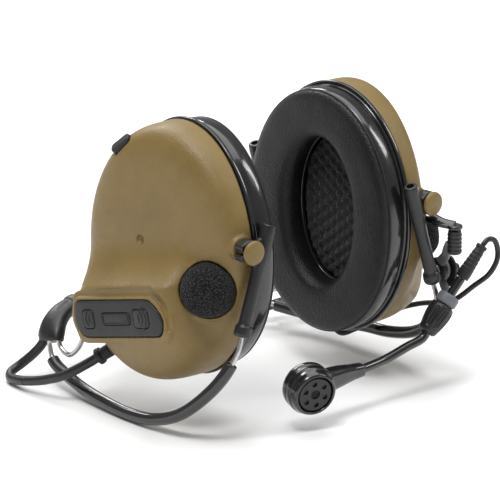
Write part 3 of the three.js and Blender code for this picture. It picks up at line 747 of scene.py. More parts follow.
def make_stage():
    """Pale floor, pale surroundings and softboxes."""
    mesh = bpy.data.meshes.new("floor")
    signs = ((-1, -1), (1, -1), (1, 1), (-1, 1))
    corners = [(x * FLOOR_HALF, y * FLOOR_HALF, FLOOR_LEVEL) for x, y in signs]
    mesh.from_pydata(corners, [], [(0, 1, 2, 3)])
    floor = bpy.data.objects.new("floor", mesh)
    bpy.context.scene.collection.objects.link(floor)
    material, tree, shader = start_material("floor", (0.9, 0.9, 0.9), 0.9, specular=0.1)
    drift = noise_node(tree, 6, 2, 0.5)
    tint(tree, shader, drift, (0.89, 0.89, 0.89), (0.91, 0.91, 0.91))
    mesh.materials.append(material)
    world = bpy.data.worlds.new("surroundings")
    bpy.context.scene.world = world
    world.use_nodes = True
    sky = world.node_tree.nodes["Background"].inputs
    sky["Color"].default_value = (1, 1, 1, 1)
    sky["Strength"].default_value = SKY_STRENGTH
    for name, (place, size, power, target) in SOFTBOXES.items():
        soft_light(name, place, size, power, target)


make_camera()
make_stage()
bpy.context.scene.view_settings.view_transform = "Standard"


# ---------------------------------------------------------------- shared directions

WINDSCREEN_BASE = Vector((13.5, -29.5, -9))
WINDSCREEN_AXIS = Vector((0.8, -0.58, 0.15)).normalized()
PLUG_MIDDLE = Vector((18.7, 21.6, 43.1))
PLUG_AXIS = Vector((0.74, 0.27, 0.62)).normalized()
GLAND_BASE = Vector((16.6, 20.4, -42.4))
GLAND_AXIS = Vector((0.52, 0.64, -0.57)).normalized()
BOOT_BASE = Vector((12.5, 16, -45.5))
BOOT_AXIS = Vector((0, -0.15, -1)).normalized()
CLAMP_MIDDLE = Vector((56.3, -53.1, -32.8))
CLAMP_AXIS = Vector((0.63, -0.12, 0.77)).normalized()
SWIVEL_TOP = Vector((57.4, -56, -0.9))
TILT_MIDDLE = Vector((63.1, -40.7, -23.6))
MIC_MIDDLE = Vector((-21.7, -50.5, -55.2))
MIC_AXIS = Vector((-0.271, -0.945, -0.163)).normalized()
SLEEVE_DOWN = Vector((math.sin(math.radians(SLEEVE_LEAN)), 0, -math.cos(math.radians(SLEEVE_LEAN))))


def on_clamp(distance):
    return CLAMP_MIDDLE + CLAMP_AXIS * distance


# ---------------------------------------------------------------- cables

CUP_CABLES = {
    "right": (RIGHT, [
        (-60.7, 72.8, -52), (-61.9, 73.6, -56.5), (-64, 77, -61.6), (-67.5, 81.2, -66.6), (-72, 82.6, -69.4),
        (-75.8, 79, -70.3), (-77.6, 71, -69.3), (-77.4, 62, -67.4), (-76.6, 53, -64.6), (-75, 44, -60.8)]),
    "left": (LEFT, [
        (54.6, 69.8, -64.4), (59, 66.8, -65.7), (64.5, 66.6, -66), (70.4, 66.6, -65.8), (75.6, 63.8, -65.4),
        (78.2, 57.4, -64.6), (78.4, 50, -62.8), (76.8, 43, -59)]),
}
MIC_CABLE = [
    on_clamp(27.9), (76.4, -57, -9.3), (79.4, -57.6, -10), (81.2, -58, -14), (80.6, -58.4, -19),
    (77.6, -57, -24.8), (75.4, -50, -31.4), (73.6, -42, -38.4), (75.8, -33, -42.6), (79, -24, -46),
    (78.8, -12.8, -49.2), (74.2, -3.4, -53), (66.8, 2.6, -57.4), (60, 7.4, -61.4), (56, 11.2, -63.4),
    (54.9, 13.6, -62.4),
    cup_point(LEFT, *(BOOT_BASE + BOOT_AXIS * 14)), cup_point(LEFT, *(BOOT_BASE + BOOT_AXIS * 10.7)),
]


def cable_stretch(name, path, radius, body_a, body_b, node):
    """One stretch of a cable between body_a at its start and body_b at its end; it rides on the body only
    when both are the same.
    """
    piece = tube(name, path, radius, sides=16, resample=False)
    dress(piece, CABLE)
    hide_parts(node)
    if body_a == body_b:
        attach(piece, body_a)
    else:
        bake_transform(piece)
    return piece


def split_path(path, pieces):
    """Cuts the path into pieces of equal length; neighbours share a point."""
    travelled = np.cumsum([0.0] + [(b - a).length for a, b in zip(path, path[1:])])
    marks = [int(np.argmin(abs(travelled - travelled[-1] * k / pieces))) for k in range(pieces + 1)]
    return [path[a:b + 1] for a, b in zip(marks, marks[1:])]


def make_cables():
    for name, (side, rows) in CUP_CABLES.items():
        points = [Vector(row) for row in rows]
        points.append(cup_point(side, *(GLAND_BASE + GLAND_AXIS * 21)))
        points.append(cup_point(side, *(GLAND_BASE + GLAND_AXIS * 15.5)))
        path, _ = spline(points, 1.2)
        lower, upper = split_path(path, 2)
        node = f"{name}_cup_cable"
        cable_stretch(f"{name}_cup_cable_lower", lower, CUP_CABLE_RADIUS, f"{name}_side", f"{name}_arms",
                      node)
        cable_stretch(f"{name}_cup_cable_upper", upper, CUP_CABLE_RADIUS, f"{name}_arms", f"{name}_cup", node)
    path, _ = spline(MIC_CABLE, 0.5)
    bodies = ["boom", "knob", "hoop", "link", "left_cup"]
    for i, part in enumerate(split_path(path, 4)):
        cable_stretch(f"mic_cable_{i + 1}", part, MIC_CABLE_RADIUS, bodies[i], bodies[i + 1], "mic_cable")


make_cables()


# ---------------------------------------------------------------- cup shells

def face_height(y, z):
    """Height of the outer face above the base ring, with the ramp that rises to the panel box."""
    turn = math.radians(PANEL_TURN)
    across = -y * math.cos(turn) + z * math.sin(turn)
    upward = z * math.cos(turn) + y * math.sin(turn)
    plain = FACE_HEIGHT + FACE_SLOPE * y
    panel = PANEL_HEIGHT - PANEL_SLOPE * (-y - PANEL_FORWARD)
    ramp = min(max((7 - upward) / 19, 0), 1) ** 2
    share = min(max((across - 15) / 10, 0), 1)
    return plain + (panel - plain) * ramp * (1 - share * share * (3 - 2 * share))


def bowl(name, half_depth, half_height, height, count=120, rows=34):
    """Closed bowl with a superellipse edge, from its rim to the middle of its face."""
    turns = np.radians(90 * np.linspace(0, 1, 2000) ** 2)
    reach = np.cos(turns) ** (2 / EDGE_POWER)
    rise = np.sin(turns) ** (2 / EDGE_POWER)
    along = np.concatenate([[0], np.cumsum(np.hypot(np.diff(reach) * half_depth, np.diff(rise) * 24))])
    wanted = np.linspace(0, along[-1] * 0.985, rows)
    rings = []
    for share, lift in zip(np.interp(wanted, along, reach), np.interp(wanted, along, rise)):
        ring = []
        for i in range(count):
            angle = 2 * math.pi * i / count
            y = half_depth * share * math.cos(angle)
            z = half_height * share * math.sin(angle)
            ring.append(Vector((lift * height(y, z), y, z)))
        rings.append(ring)
    return loft(name, rings)


def panel_outline(grow, top=0.0):
    """Outline of the keypad and of the battery hatch; x runs rearward and y up."""
    long = PANEL_LENGTH / 2 + grow
    high = PANEL_WIDTH / 2 + grow
    corners = [
        (long, -1), (long - 1.5, high - 2 + top), (long - 3.5, high + top), (-long + 7.5, high + top),
        (-long + 3, high - 4 + top), (-long, -1.5), (-long + 2, -high + 1.5), (-long + 4, -high),
        (long - 6, -high), (long - 3, -high + 1.5),
    ]
    return soft_outline(corners, 2.4)


def oval_ring(half_depth, half_height, outward, count=120):
    return [Vector((outward, half_depth * math.cos(2 * math.pi * i / count),
                    half_height * math.sin(2 * math.pi * i / count))) for i in range(count)]


def plug_matrix():
    along = Vector((0, 0.55, -0.84))
    along = (along - PLUG_AXIS * along.dot(PLUG_AXIS)).normalized()
    place = Matrix((along, PLUG_AXIS.cross(along), PLUG_AXIS)).transposed().to_4x4()
    place.translation = PLUG_MIDDLE
    return place


def shell_block():
    """Outer shape of a shell: bowl, panel box, pivot bosses and windscreen seat fused into one skin."""
    parts = [
        bowl("bowl", SHELL_HALF_DEPTH, SHELL_HALF_HEIGHT, face_height),
        plate("box", panel_outline(3.2, 0.4), -24.2, 0, panel_matrix(), 1.3),
        turned("seat", [(0, -7), (12.9, -7), (13.3, -2), (13.1, 1.5), (0, 1.5)], WINDSCREEN_BASE,
               WINDSCREEN_AXIS),
    ]
    for toward in (-1, 1):
        parts.append(turned("boss", [(0, 0), (6.6, 0), (5.3, 5), (5.2, 7.6), (0, 7.6)],
                            Vector((PIVOT_OUT, toward * BOSS_BASE, PIVOT_UP)), Vector((0, toward, 0))))
    return melt(merged("shell_block", parts), 0.55, 7)


def shell_cuts(side):
    """What is taken out of a shell: cavity, windscreen pocket, plug seat, holes and the panel's recess."""
    def depth(y, z):
        return min(FACE_HEIGHT + FACE_SLOPE * y - WALL, CAVITY_LIMIT)

    inner_depth = SHELL_HALF_DEPTH - WALL
    inner_height = SHELL_HALF_HEIGHT - WALL
    cavity = bowl("cavity", inner_depth, inner_height, depth, 96, 24)
    for corner in cavity.data.vertices:
        if corner.co.x < 0.05:
            corner.co.x = -2
    tools = [
        cavity,
        turned("pocket", [(0, -9), (3.6, -9), (3.6, -0.4), (12.1, -0.4), (12.3, 6), (0, 6)],
               WINDSCREEN_BASE, WINDSCREEN_AXIS),
        plate("plug_seat", bar_outline(11.1, 5.2, 2), -2.5, 3.4, plug_matrix(), 0.2),
        cylinder("cable_hole", 2.5, -6, 8, GLAND_BASE, GLAND_AXIS),
        turned("dimple", [(0, -1), (1, -0.9), (2, 0), (2.3, 3), (0, 3)], Vector((21.1, 6.1, 5.6)), OUT,
               radius=0.2),
        turned("small_dimple", [(0, -1.2), (1.4, -0.9), (1.6, 4), (0, 4)],
               panel_matrix() @ Vector((-PANEL_LENGTH / 2 - 2.6, 1.2, -0.4)), OUT, radius=0.2),
    ]
    for toward in (-1, 1):
        tools.append(cylinder("stud_hole", 2.6, -1, 6.3, Vector((PIVOT_OUT, toward * BOSS_TIP, PIVOT_UP)),
                              Vector((0, -toward, 0))))
    tray = -2.6 if side == RIGHT else -2.2
    tools.append(plate("tray", panel_outline(GAP), tray, 4, panel_matrix(), 0.1))
    if side == LEFT:
        tools.append(plate("trough", bar_outline(46.4, 11.6, 2), -14, tray + 0.4, panel_matrix(), 0.2))
        tools.append(cylinder("boot_hole", 1.5, -8, 8, BOOT_BASE, BOOT_AXIS))
    return tools


def with_keypad_rim(shell):
    """Sinks a shallow band above and in front of the keypad, and raises a thin rim round it."""
    corners = [(27.4, -6), (28.6, 7.4), (26.6, 12.6), (-20.6, 13), (-25.6, 10), (-31, 1), (-29.6, -6)]
    cut(shell, [plate("band", soft_outline(corners, 1.6), -1.9, 5, panel_matrix(), 0.1)])
    rim = plate("rim", panel_outline(1.5), -6, 0.3, panel_matrix(), 0.5)
    return melt(merged("rimmed", [shell, rim]), 0.45, 1)


def make_shells():
    block = shell_block()
    blocks = {RIGHT: copied(block, "right_block"), LEFT: block}
    for side, name in ((RIGHT, "right"), (LEFT, "left")):
        shell = with_keypad_rim(blocks[side]) if side == RIGHT else blocks[side]
        cut(shell, [merged("tools", shell_cuts(side))])
        melt(shell, 0.42, 1)
        moved(shell, cup_matrix(side))
        shell.name = f"{name}_shell_skin"
        stands_for(shell, KHAKI, "khaki_plastic", f"{name}_cup", f"{name}_cup_shell")


make_shells()


# ---------------------------------------------------------------- ear side of the cups

def smooth_ring(name, section, count=160, sharp=60, matrix=None):
    """Closed ring round the ear opening; the section lists reach across the ring and outward height."""
    rings = [oval_ring(OPENING_HALF_DEPTH + reach[0], OPENING_HALF_HEIGHT + reach[1], outward, count)
             for reach, outward in section]
    return loft(name, rings, matrix, True, sharp)


def rounded_section(corners, radius):
    """Closed section with rounded corners, as (reach, outward) pairs."""
    return [(p.x, p.y) for p in soft_outline(corners, radius, 4)]


def make_base_ring(side, name):
    """Hard ring that closes the shell, with a groove round its edge and a lip at the opening."""
    wide = SHELL_HALF_DEPTH - OPENING_HALF_DEPTH
    high = SHELL_HALF_HEIGHT - OPENING_HALF_HEIGHT
    corners = [(0.5, -0.3), (0.5, -2.6), (wide - 1.4, -2.6), (wide - 1, -1.9), (wide + 0.7, -2.3),
               (wide + 0.8, -0.3)]
    section = [((x, x + high - wide), z) for x, z in rounded_section(corners, 0.7)]
    ring = smooth_ring("ring", section, 180, 50, cup_matrix(side))
    ring.name = f"{name}_ring_moulding"
    stands_for(ring, GLOSS, "gloss_black", f"{name}_cup", f"{name}_base_ring")


def cushion_rings(profile, count):
    """Rings of the cushion; the profile lists how far across the pad and how far toward the head."""
    wide = SHELL_HALF_DEPTH - 0.9 - OPENING_HALF_DEPTH
    high = SHELL_HALF_HEIGHT - 1.4 - OPENING_HALF_HEIGHT
    rings = []
    for share, outward in profile:
        half_depth = OPENING_HALF_DEPTH + wide * share
        rings.append(oval_ring(half_depth, OPENING_HALF_HEIGHT + high * share, outward, count))
    return rings


def fine_profile(rows, spacing):
    """Evenly spaced rows on the smooth curve through the given ones."""
    path, _ = spline([Vector((share * PROFILE_SCALE, outward, 0)) for share, outward in rows], spacing)
    return [(p.x / PROFILE_SCALE, p.y) for p in path]


def ripple(obj, depth, scale, seed):
    """Moves a soft surface in and out with gentle uneven waves."""
    mesh = obj.data
    for corner in mesh.vertices:
        place = corner.co
        wave = noise.noise((place + Vector((seed, 0, 0))) * scale)
        corner.co = place + corner.normal * (wave * depth)
    mesh.update()


def make_cushion(side, name):
    """Padded ring: flat soft face with pebbled skin, and a glossy welded side below its outer seam."""
    body = f"{name}_cup"
    face = fine_profile([
        (0.02, -3.0), (0.006, -4.8), (-0.012, -7.5), (-0.006, -10.2), (0.05, -12.5), (0.14, -13.75),
        (0.28, -14.25), (0.5, -14.35), (0.72, -14.2), (0.86, -13.8), (0.95, -12.9), (0.985, -11.9),
    ], 0.55)
    back = [(0.97, -11.2), (0.85, -10.4), (0.5, -9.8), (0.2, -8.2), (0.1, -3.4)]
    pad = loft("pad", cushion_rings(face + back, 220), None, True, 75)
    ripple(pad, 0.22, 0.09, 3.0 + side)
    moved(pad, cup_matrix(side))
    pad.name = f"{name}_cushion_face"
    stands_for(pad, SKIN, "cushion_skin", body, f"{name}_ear_cushion")
    wall = fine_profile([(0.965, -11.35), (1.0, -11.0), (1.02, -9.6), (1.028, -7.2), (1.02, -4.8),
                         (0.985, -2.95)], 0.5)
    inner = [(0.3, -2.9), (0.3, -4.0), (0.5, -9.0), (0.85, -10.2)]
    skirt = loft("skirt", cushion_rings(wall + inner, 200), cup_matrix(side), True, 60)
    skirt.name = f"{name}_cushion_side"
    stands_for(skirt, GLOSS, "gloss_black", body, f"{name}_ear_cushion")
    bead = fine_profile([(0.985, -11.9), (1.008, -11.75), (1.012, -11.35), (0.99, -11.05), (0.97, -11.4)],
                        0.18)
    welt = loft("welt", cushion_rings(bead, 200), cup_matrix(side), True, 80)
    welt.name = f"{name}_cushion_seam"
    stands_for(welt, RUBBER, "rubber", body, f"{name}_ear_cushion")


def make_liner(side, name):
    """Foam sheet behind the ear opening, its net cover quilted into staggered bumps."""
    half_depth = OPENING_HALF_DEPTH - 0.4
    half_height = OPENING_HALF_HEIGHT - 0.4
    rings = [oval_ring(half_depth * 0.985, half_height * 0.99, 1.8, 160),
             oval_ring(half_depth, half_height, 1.2, 160), oval_ring(half_depth, half_height, 0.4, 160)]
    for k in range(QUILT_ROWS):
        share = 1 - (k + 0.5) / (QUILT_ROWS + 0.5)
        rings.append(oval_ring(half_depth * share, half_height * share, -0.6, 160))
    liner = loft("liner", rings, None, False, 80)
    for corner in liner.data.vertices:
        y, z = corner.co.y, corner.co.z
        if corner.co.x > -0.5:
            continue
        bump = math.cos(2 * math.pi * y / QUILT_PITCH[0]) * math.cos(2 * math.pi * z / QUILT_PITCH[1])
        sag = 0.7 * (1 - (y / half_depth) ** 2 - (z / half_height) ** 2)
        knit = 0.12 * noise.noise(Vector((y, z, 0)) * 2.2)
        corner.co.x -= QUILT_DEPTH * max(bump, 0) ** 0.6 + knit - sag
    moved(liner, cup_matrix(side))
    tidy_mesh(liner.data, 85)
    liner.name = f"{name}_liner_net"
    stands_for(liner, LINER, "foam", f"{name}_cup", f"{name}_foam_liner")


def make_windscreen(side, name):
    """Foam dome over the ambient microphone, uneven as cut foam is."""
    dome = turned("dome", [(0, 0.2), (10.6, 0.2), (11.6, 1.2), (11.55, 4.2), (10.6, 7.6), (8.2, 10.2),
                           (4.6, 11.6), (0, 12)], WINDSCREEN_BASE, WINDSCREEN_AXIS, None, 72, 2.6, 80)
    refine = dome.modifiers.new("refine", "REMESH")
    refine.mode = "VOXEL"
    refine.voxel_size = 0.42
    settle(dome, 85)
    soften = dome.modifiers.new("soften", "SMOOTH")
    soften.iterations = 6
    settle(dome, 85)
    for corner in dome.data.vertices:
        place = corner.co
        lump = noise.noise(place * 0.16 + Vector((side, 0, 0))) * 0.3
        pore = noise.noise(place * 2.6) * 0.14
        corner.co = place + corner.normal * (lump + pore)
    moved(dome, cup_matrix(side))
    tidy_mesh(dome.data, 85)
    dome.name = f"{name}_windscreen_foam"
    stands_for(dome, FOAM, "foam", f"{name}_cup", f"{name}_mic_windscreen")


# ---------------------------------------------------------------- small parts on the cups

def make_plug(side, name):
    """Rubber plug on the shoulder of the shell."""
    plug = plate("plug", bar_outline(10.5, 4.6, 1.9), -2.2, 1.5, cup_matrix(side) @ plug_matrix(), 0.6, 4)
    plug.name = f"{name}_rubber_plug"
    stands_for(plug, RUBBER, "rubber", f"{name}_cup", f"{name}_blanking_plug")


def make_gland(side, name):
    """Ribbed taper that holds the cable where it enters the shell."""
    profile = [(0, -3), (2.1, -3), (2.1, 7), (3.5, 7.1), (3.5, 8.8), (3.0, 9.1)]
    for k in range(4):
        start = 9.5 + k * 1.15
        rib = 3.0 - 0.04 * k
        profile += [(2.75, start), (2.75, start + 0.35), (rib, start + 0.5), (rib, start + 0.95)]
    profile += [(3.6, 14.2), (3.7, 16.2), (3.1, 16.5), (0, 16.5)]
    boot = turned("boot", profile, GLAND_BASE, GLAND_AXIS, cup_matrix(side), 40, 0.3)
    boot.name = f"{name}_cable_boot"
    stands_for(boot, RUBBER, "rubber", f"{name}_cup", f"{name}_cable_gland")


def make_stud(side, name, toward, node):
    """Snap stud with a thin collar and a shallow domed cap."""
    neck = SLEEVE_DEPTH - 32.7
    profile = [(0, 0.6), (2.2, 0.6), (2.2, 6.4), (2.45, 6.5), (2.45, neck), (4.9, neck), (5.2, neck + 0.35),
               (5.2, neck + 1.3), (4.8, neck + 1.95), (3.4, neck + 2.4), (1.6, neck + 2.65), (0, neck + 2.7)]
    stud = turned("stud", profile, Vector((PIVOT_OUT, toward * STUD_BASE, PIVOT_UP)), Vector((0, toward, 0)),
                  cup_matrix(side), 48, 0.5, 60)
    stud.name = f"{node}_cap"
    stands_for(stud, KHAKI, "khaki_plastic", f"{name}_cup", node)


def clip_ring(depth, toward):
    """Split ring that grips the stud; its jaws open outward."""
    middle = Vector((PIVOT_OUT, toward * depth, PIVOT_UP))
    points = []
    for k in range(13):
        angle = math.radians(32 + 296 * k / 12)
        points.append(middle + Vector((math.cos(angle), 0, math.sin(angle))) * 3.85)
    ring = sweep("clip", points, [2.5] * 13, [1.15] * 13, Vector((0, 1, 0)), None, 20, 0.5, 4.5)
    jaws = []
    for angle in (32, 328):
        turn = math.radians(angle)
        place = middle + Vector((math.cos(turn), 0, math.sin(turn))) * 4.3
        jaws.append(cylinder("jaw", 1.5, -2.5, 2.5, place, Vector((0, 1, 0)),
                           None, 24, 0.4))
    return [ring] + jaws


def make_arm(side, name, toward, node):
    """Sleeve on the spring wire, its clip round the stud and a gusset between them."""
    depth = SLEEVE_DEPTH
    top = Vector((SLEEVE_OUT, toward * depth, PIVOT_UP))
    sleeve = turned("sleeve", [(0, -10), (2.9, -10), (3.2, -7), (3.25, 5), (2.95, 9), (2.75, 14),
                               (2.75, 32.9), (3.65, 33.5), (3.8, 36.8), (3.3, 38), (0, 38)], top, SLEEVE_DOWN,
                               None, 40, 0.5)
    web_depth = toward * (depth - 0.6)
    gusset = sweep("gusset", [Vector((-0.5, web_depth, PIVOT_UP + 4.2)), Vector((1.2, web_depth, PIVOT_UP)),
                              Vector((1.6, web_depth, PIVOT_UP - 6)),
                              Vector((1.2, web_depth, PIVOT_UP - 13))],
                   [1.2, 2.4, 2.6, 0.9], [1.7, 2.0, 1.9, 1.4], Vector((1, 0, 0)), None, 24, 0.6, 2.6)
    arm = melt(merged("arm", [sleeve, gusset] + clip_ring(depth - 0.95, toward)), 0.32, 3)
    bore = cylinder("bore", 1.7, -12, 41, top, SLEEVE_DOWN, None, 24, 0.05)
    cut(arm, [bore])
    tidy_mesh(arm.data, 50)
    moved(arm, cup_matrix(side))
    arm.name = f"{node}_moulding"
    stands_for(arm, SATIN, "satin_black", f"{name}_arms", node)


for cup_side, cup_name in ((RIGHT, "right"), (LEFT, "left")):
    make_base_ring(cup_side, cup_name)
    make_cushion(cup_side, cup_name)
    make_liner(cup_side, cup_name)
    make_windscreen(cup_side, cup_name)
    make_plug(cup_side, cup_name)
    make_gland(cup_side, cup_name)
    for stud_toward, stud_end in ((-1, "front"), (1, "rear")):
        make_stud(cup_side, cup_name, stud_toward, f"{cup_name}_{stud_end}_pivot_stud")
        make_arm(cup_side, cup_name, stud_toward, f"{cup_name}_{stud_end}_arm")


# ---------------------------------------------------------------- keypad and battery hatch

KEYS = {"rear": (6.4, 8, 17.4), "middle": (17, 5.2, 1), "front": (9, 8, -14)}


def raised_line(points, height, matrix, radius=0.32):
    """Moulded line standing on a flat face, through points given in the panel frame."""
    rows = [Vector((x, y, height)) for x, y in points]
    return tube("line", rows, radius, 0.35, 10, 0, matrix)


def arc_points(x, y, radius, start, end):
    turns = [math.radians(start + (end - start) * k / 6) for k in range(7)]
    return [(x + radius * math.cos(turn), y + radius * math.sin(turn)) for turn in turns]


def key_lines(name, matrix):
    """Plain raised marks: arcs on the two end keys, a frame on the middle one."""
    x = KEYS[name][2]
    if name == "middle":
        return [raised_line(row, 1.28, matrix) for row in (
            [(x - 7.4, -1.9), (x, -1.9), (x + 7.4, -1.9)], [(x - 7.4, 1.9), (x, 1.9), (x + 7.4, 1.9)],
            [(x - 7.4, -1.9), (x - 7.4, 1.9)], [(x + 7.4, -1.9), (x + 7.4, 1.9)])]
    if name == "rear":
        return [raised_line(arc_points(x - 2.4, 0, r, -48, 48), 1.28, matrix) for r in (2.2, 4.0)]
    return [raised_line(arc_points(x + 3.2, 0, r, 132, 228), 1.28, matrix) for r in (2.2, 4.2, 6.2)]


def make_keypad():
    place = cup_matrix(RIGHT) @ panel_matrix()
    pad = plate("pad", panel_outline(0), -2.3, 0.9, place, 0.8, 4)
    holes = [plate("hole", bar_outline(long + 0.5, high + 0.5, 2.2, x), -3, 2, place, 0.05)
             for long, high, x in KEYS.values()]
    cut(pad, [merged("holes", holes)])
    tidy_mesh(pad.data, 40)
    pad.name = "keypad_rubber"
    stands_for(pad, KEY_RUBBER, "rubber", "right_cup", "right_keypad_pad")
    for name, (long, high, x) in KEYS.items():
        key = plate("key", bar_outline(long, high, 2, x), -1.4, 1.3, place, 0.7, 4)
        key = merged(f"key_{name}_cap", [key] + key_lines(name, place))
        tidy_mesh(key.data, 50)
        stands_for(key, KEY_RUBBER, "rubber", f"key_{name}", f"right_button_{name}")


def make_hatch():
    """Battery hatch with grip ribs and a raised frame."""
    place = cup_matrix(LEFT) @ panel_matrix()
    hatch = plate("hatch", panel_outline(0), -1.9, 0.9, place, 0.7, 4)
    ribs = [raised_line([(x, -4.2), (x, 4.2)], 0.95, place, 0.5) for x in (-16, -14, -12, -10, -8, -6)]
    frame_line = [raised_line(row, 0.85, place, 0.3) for row in (
        [(2, -3.4), (18, -3.4)], [(2, 3.4), (18, 3.4)], [(2, -3.4), (2, 3.4)], [(18, -3.4), (18, 3.4)])]
    whole = merged("battery_hatch_lid", [hatch] + ribs + frame_line)
    tidy_mesh(whole.data, 50)
    stands_for(whole, SATIN, "satin_black", "hatch", "left_battery_hatch")


make_keypad()
make_hatch()


# ---------------------------------------------------------------- wires, tubes, junctions and neckband

def sleeve_points(side, rearward):
    """Where a spring wire runs up inside its sleeve."""
    top = Vector((SLEEVE_OUT, rearward, PIVOT_UP))
    return [cup_point(side, *(top + SLEEVE_DOWN * s)) for s in SLEEVE_STATIONS]


WIRES = {
    "right": (RIGHT, [
        (-61.8, 69, -52), (-62.4, 68.3, -57), (-63.4, 65, -62), (-66, 48, -67), (-68.5, 29, -69.2),
        (-70, 8.6, -70), (-70, -7.1, -68.5), (-69, -21.7, -63.2), (-66, -34, -53.4), (-61.9, -41.6, -43.4),
    ], [(-60.5, 65.4, -51.5), (-60.7, 63.2, -56.4), (-60.8, 57.6, -58.4), (-60.6, 51, -53),
        (-59.6, 47.4, -43)]),
    "left": (LEFT, [
        (56, 67.6, -62.2), (59.4, 63.6, -62.8), (61.5, 58, -63.5), (65, 46.6, -64.5), (68, 30, -64.6),
        (69.3, 10.4, -63), (68.8, -5.3, -61.6), (67.8, -20.7, -57.6), (65, -34, -50), (61.4, -41.6, -42.4),
    ], [(55.6, 67.4, -58.8), (58.6, 63.6, -57.2), (60, 57.8, -55), (60.2, 51, -49.6), (59.4, 47.2, -42)]),
}
COVER = [(-41.1, 73.6, -42.1), (-30, 79.5, -42.9), (-15, 85, -46), (0, 87.4, -50), (14, 87.2, -54),
         (26, 84, -57), (35.2, 80, -58.9)]
JUNCTIONS = {
    "right": ([(-42.8, 72.9, -42.2), (-47, 72.6, -43), (-52.5, 72.4, -45), (-57, 71.6, -48.4), (-60, 70, -52),
               (-61.4, 68.9, -55.2)], (0.1, 1, 0.1), [
        ((-61.6, 69.3, -50.5), (-62.7, 67.7, -60), 1.6), ((-60.3, 65.9, -50.6), (-60.9, 62.6, -58), 1.6),
        ((-60.4, 72.6, -51), (-62.6, 74, -59), 2.8)]),
    "left": ([(36.3, 79.5, -59), (42, 76.8, -60), (47.5, 73.8, -60.7), (52, 70.9, -61), (55.6, 68, -61),
              (58.2, 65.4, -61)], (0, 0.1, 1), [
        ((54.6, 69.2, -61.9), (61, 62, -63.1), 1.6), ((54.4, 68.9, -59.5), (60.4, 61.2, -56.3), 1.6),
        ((54.2, 70.2, -64.4), (61.4, 64.6, -66.2), 2.8)]),
}


def make_wires(name):
    side, front, rear = WIRES[name]
    body = f"{name}_side"
    front_points = [Vector(p) for p in front] + sleeve_points(side, -SLEEVE_DEPTH)
    rear_points = [Vector(p) for p in rear] + sleeve_points(side, SLEEVE_DEPTH)
    for end, points in (("front", front_points), ("rear", rear_points)):
        wire = tube(f"{name}_{end}_spring_wire", points, WIRE_RADIUS, 0.9, 16)
        stands_for(wire, STEEL, "steel", body, f"{name}_{end}_wire")
    covered, _ = spline(front_points[1:11], 0.9)
    start = round(len(covered) / 26)
    sleeve = tube(f"{name}_wire_sleeving", covered[start:-start], TUBE_RADIUS, 0.9, 24, TUBE_BORE)
    stands_for(sleeve, GLOSS, "gloss_black", body, f"{name}_wire_tube")


def make_junction(name):
    """Moulded junction where the cover splits into two wires and a cable."""
    rows, across, holes = JUNCTIONS[name]
    points = [Vector(row) for row in rows]
    block = sweep("block", points, [3.8, 4.2, 5, 5.9, 6.6, 6.8], [3, 3.2, 3.4, 3.6, 3.8, 3.6], Vector(across),
                  None, 40, 0.7, 2.7, 0.9)
    collar = sweep("collar", points[:2], [4.5, 4.6], [3.7, 3.8], Vector(across), None, 40, 0.5, 2.7, 0.5)
    path, _ = spline(points, 0.8)
    ridge = tube("ridge", [p + Vector((0, 0, 3.3)) for p in path[8:-7:5]], 0.8, 0.8, 12, 0, Matrix())
    whole = melt(merged("junction", [block, collar, ridge]), 0.4, 3)
    tools = []
    for start, end, radius in holes:
        start, end = Vector(start), Vector(end)
        reach = (end - start).length
        tools.append(cylinder("bore", radius, 0, reach, start, end - start, None, 24, 0.05))
    cut(whole, tools)
    tidy_mesh(whole.data, 50)
    moved(whole, head_matrix())
    whole.name = f"{name}_junction_block"
    stands_for(whole, SATIN, "satin_black", f"{name}_side", f"{name}_junction")


def make_neckband():
    """Glossy cover of the neckband, oval in section."""
    points = [Vector(row) for row in COVER]
    cover = sweep("neckband_tube", points, [3.6] * 7, [2.8] * 7, UP, head_matrix(), 36, 1.0, 2.2, 0.6)
    stands_for(cover, GLOSS, "gloss_black", "neckband", "neckband_cover")


for wire_name in ("right", "left"):
    make_wires(wire_name)
    make_junction(wire_name)
make_neckband()


# ---------------------------------------------------------------- boom microphone

def make_bracket():
    """Twisted strap from the left cup to the head the boom swings on."""
    arm = sweep("bracket", [(54.8, -42, 2.4), (54.2, -45.6, 2.2), (55, -50.5, 1.2),
                            (57.4, -56, 0.7)], [2.9, 2.9, 2.7, 2.4], [1.1, 1.1, 1.1, 1.1],
                (1, 0, 0.3), None, 32, 0.4, 3.2)
    head = turned("head", [(0, 0.3), (3.4, 0.3), (3.4, 1.5), (2.8, 2), (0, 2)], SWIVEL_TOP, UP, None, 40)
    pin = cylinder("pin", 1.2, -9.5, 1, SWIVEL_TOP, UP, None, 24, 0.2)
    bracket = melt(merged("boom_bracket_arm", [arm, head, pin]), 0.24, 2)
    moved(bracket, head_matrix())
    stands_for(bracket, GLOSS, "satin_black", "left_cup", "boom_bracket")


def bore_swivel_and_pin(piece):
    cut(piece, [
        cylinder("swivel_bore", 1.5, -10.2, 2, SWIVEL_TOP, UP, None, 24, 0.05),
        cylinder("pin_bore", 1.9, -4, 4, TILT_MIDDLE, OUT, None, 24, 0.05)])
    tidy_mesh(piece.data, 50)
    moved(piece, head_matrix())


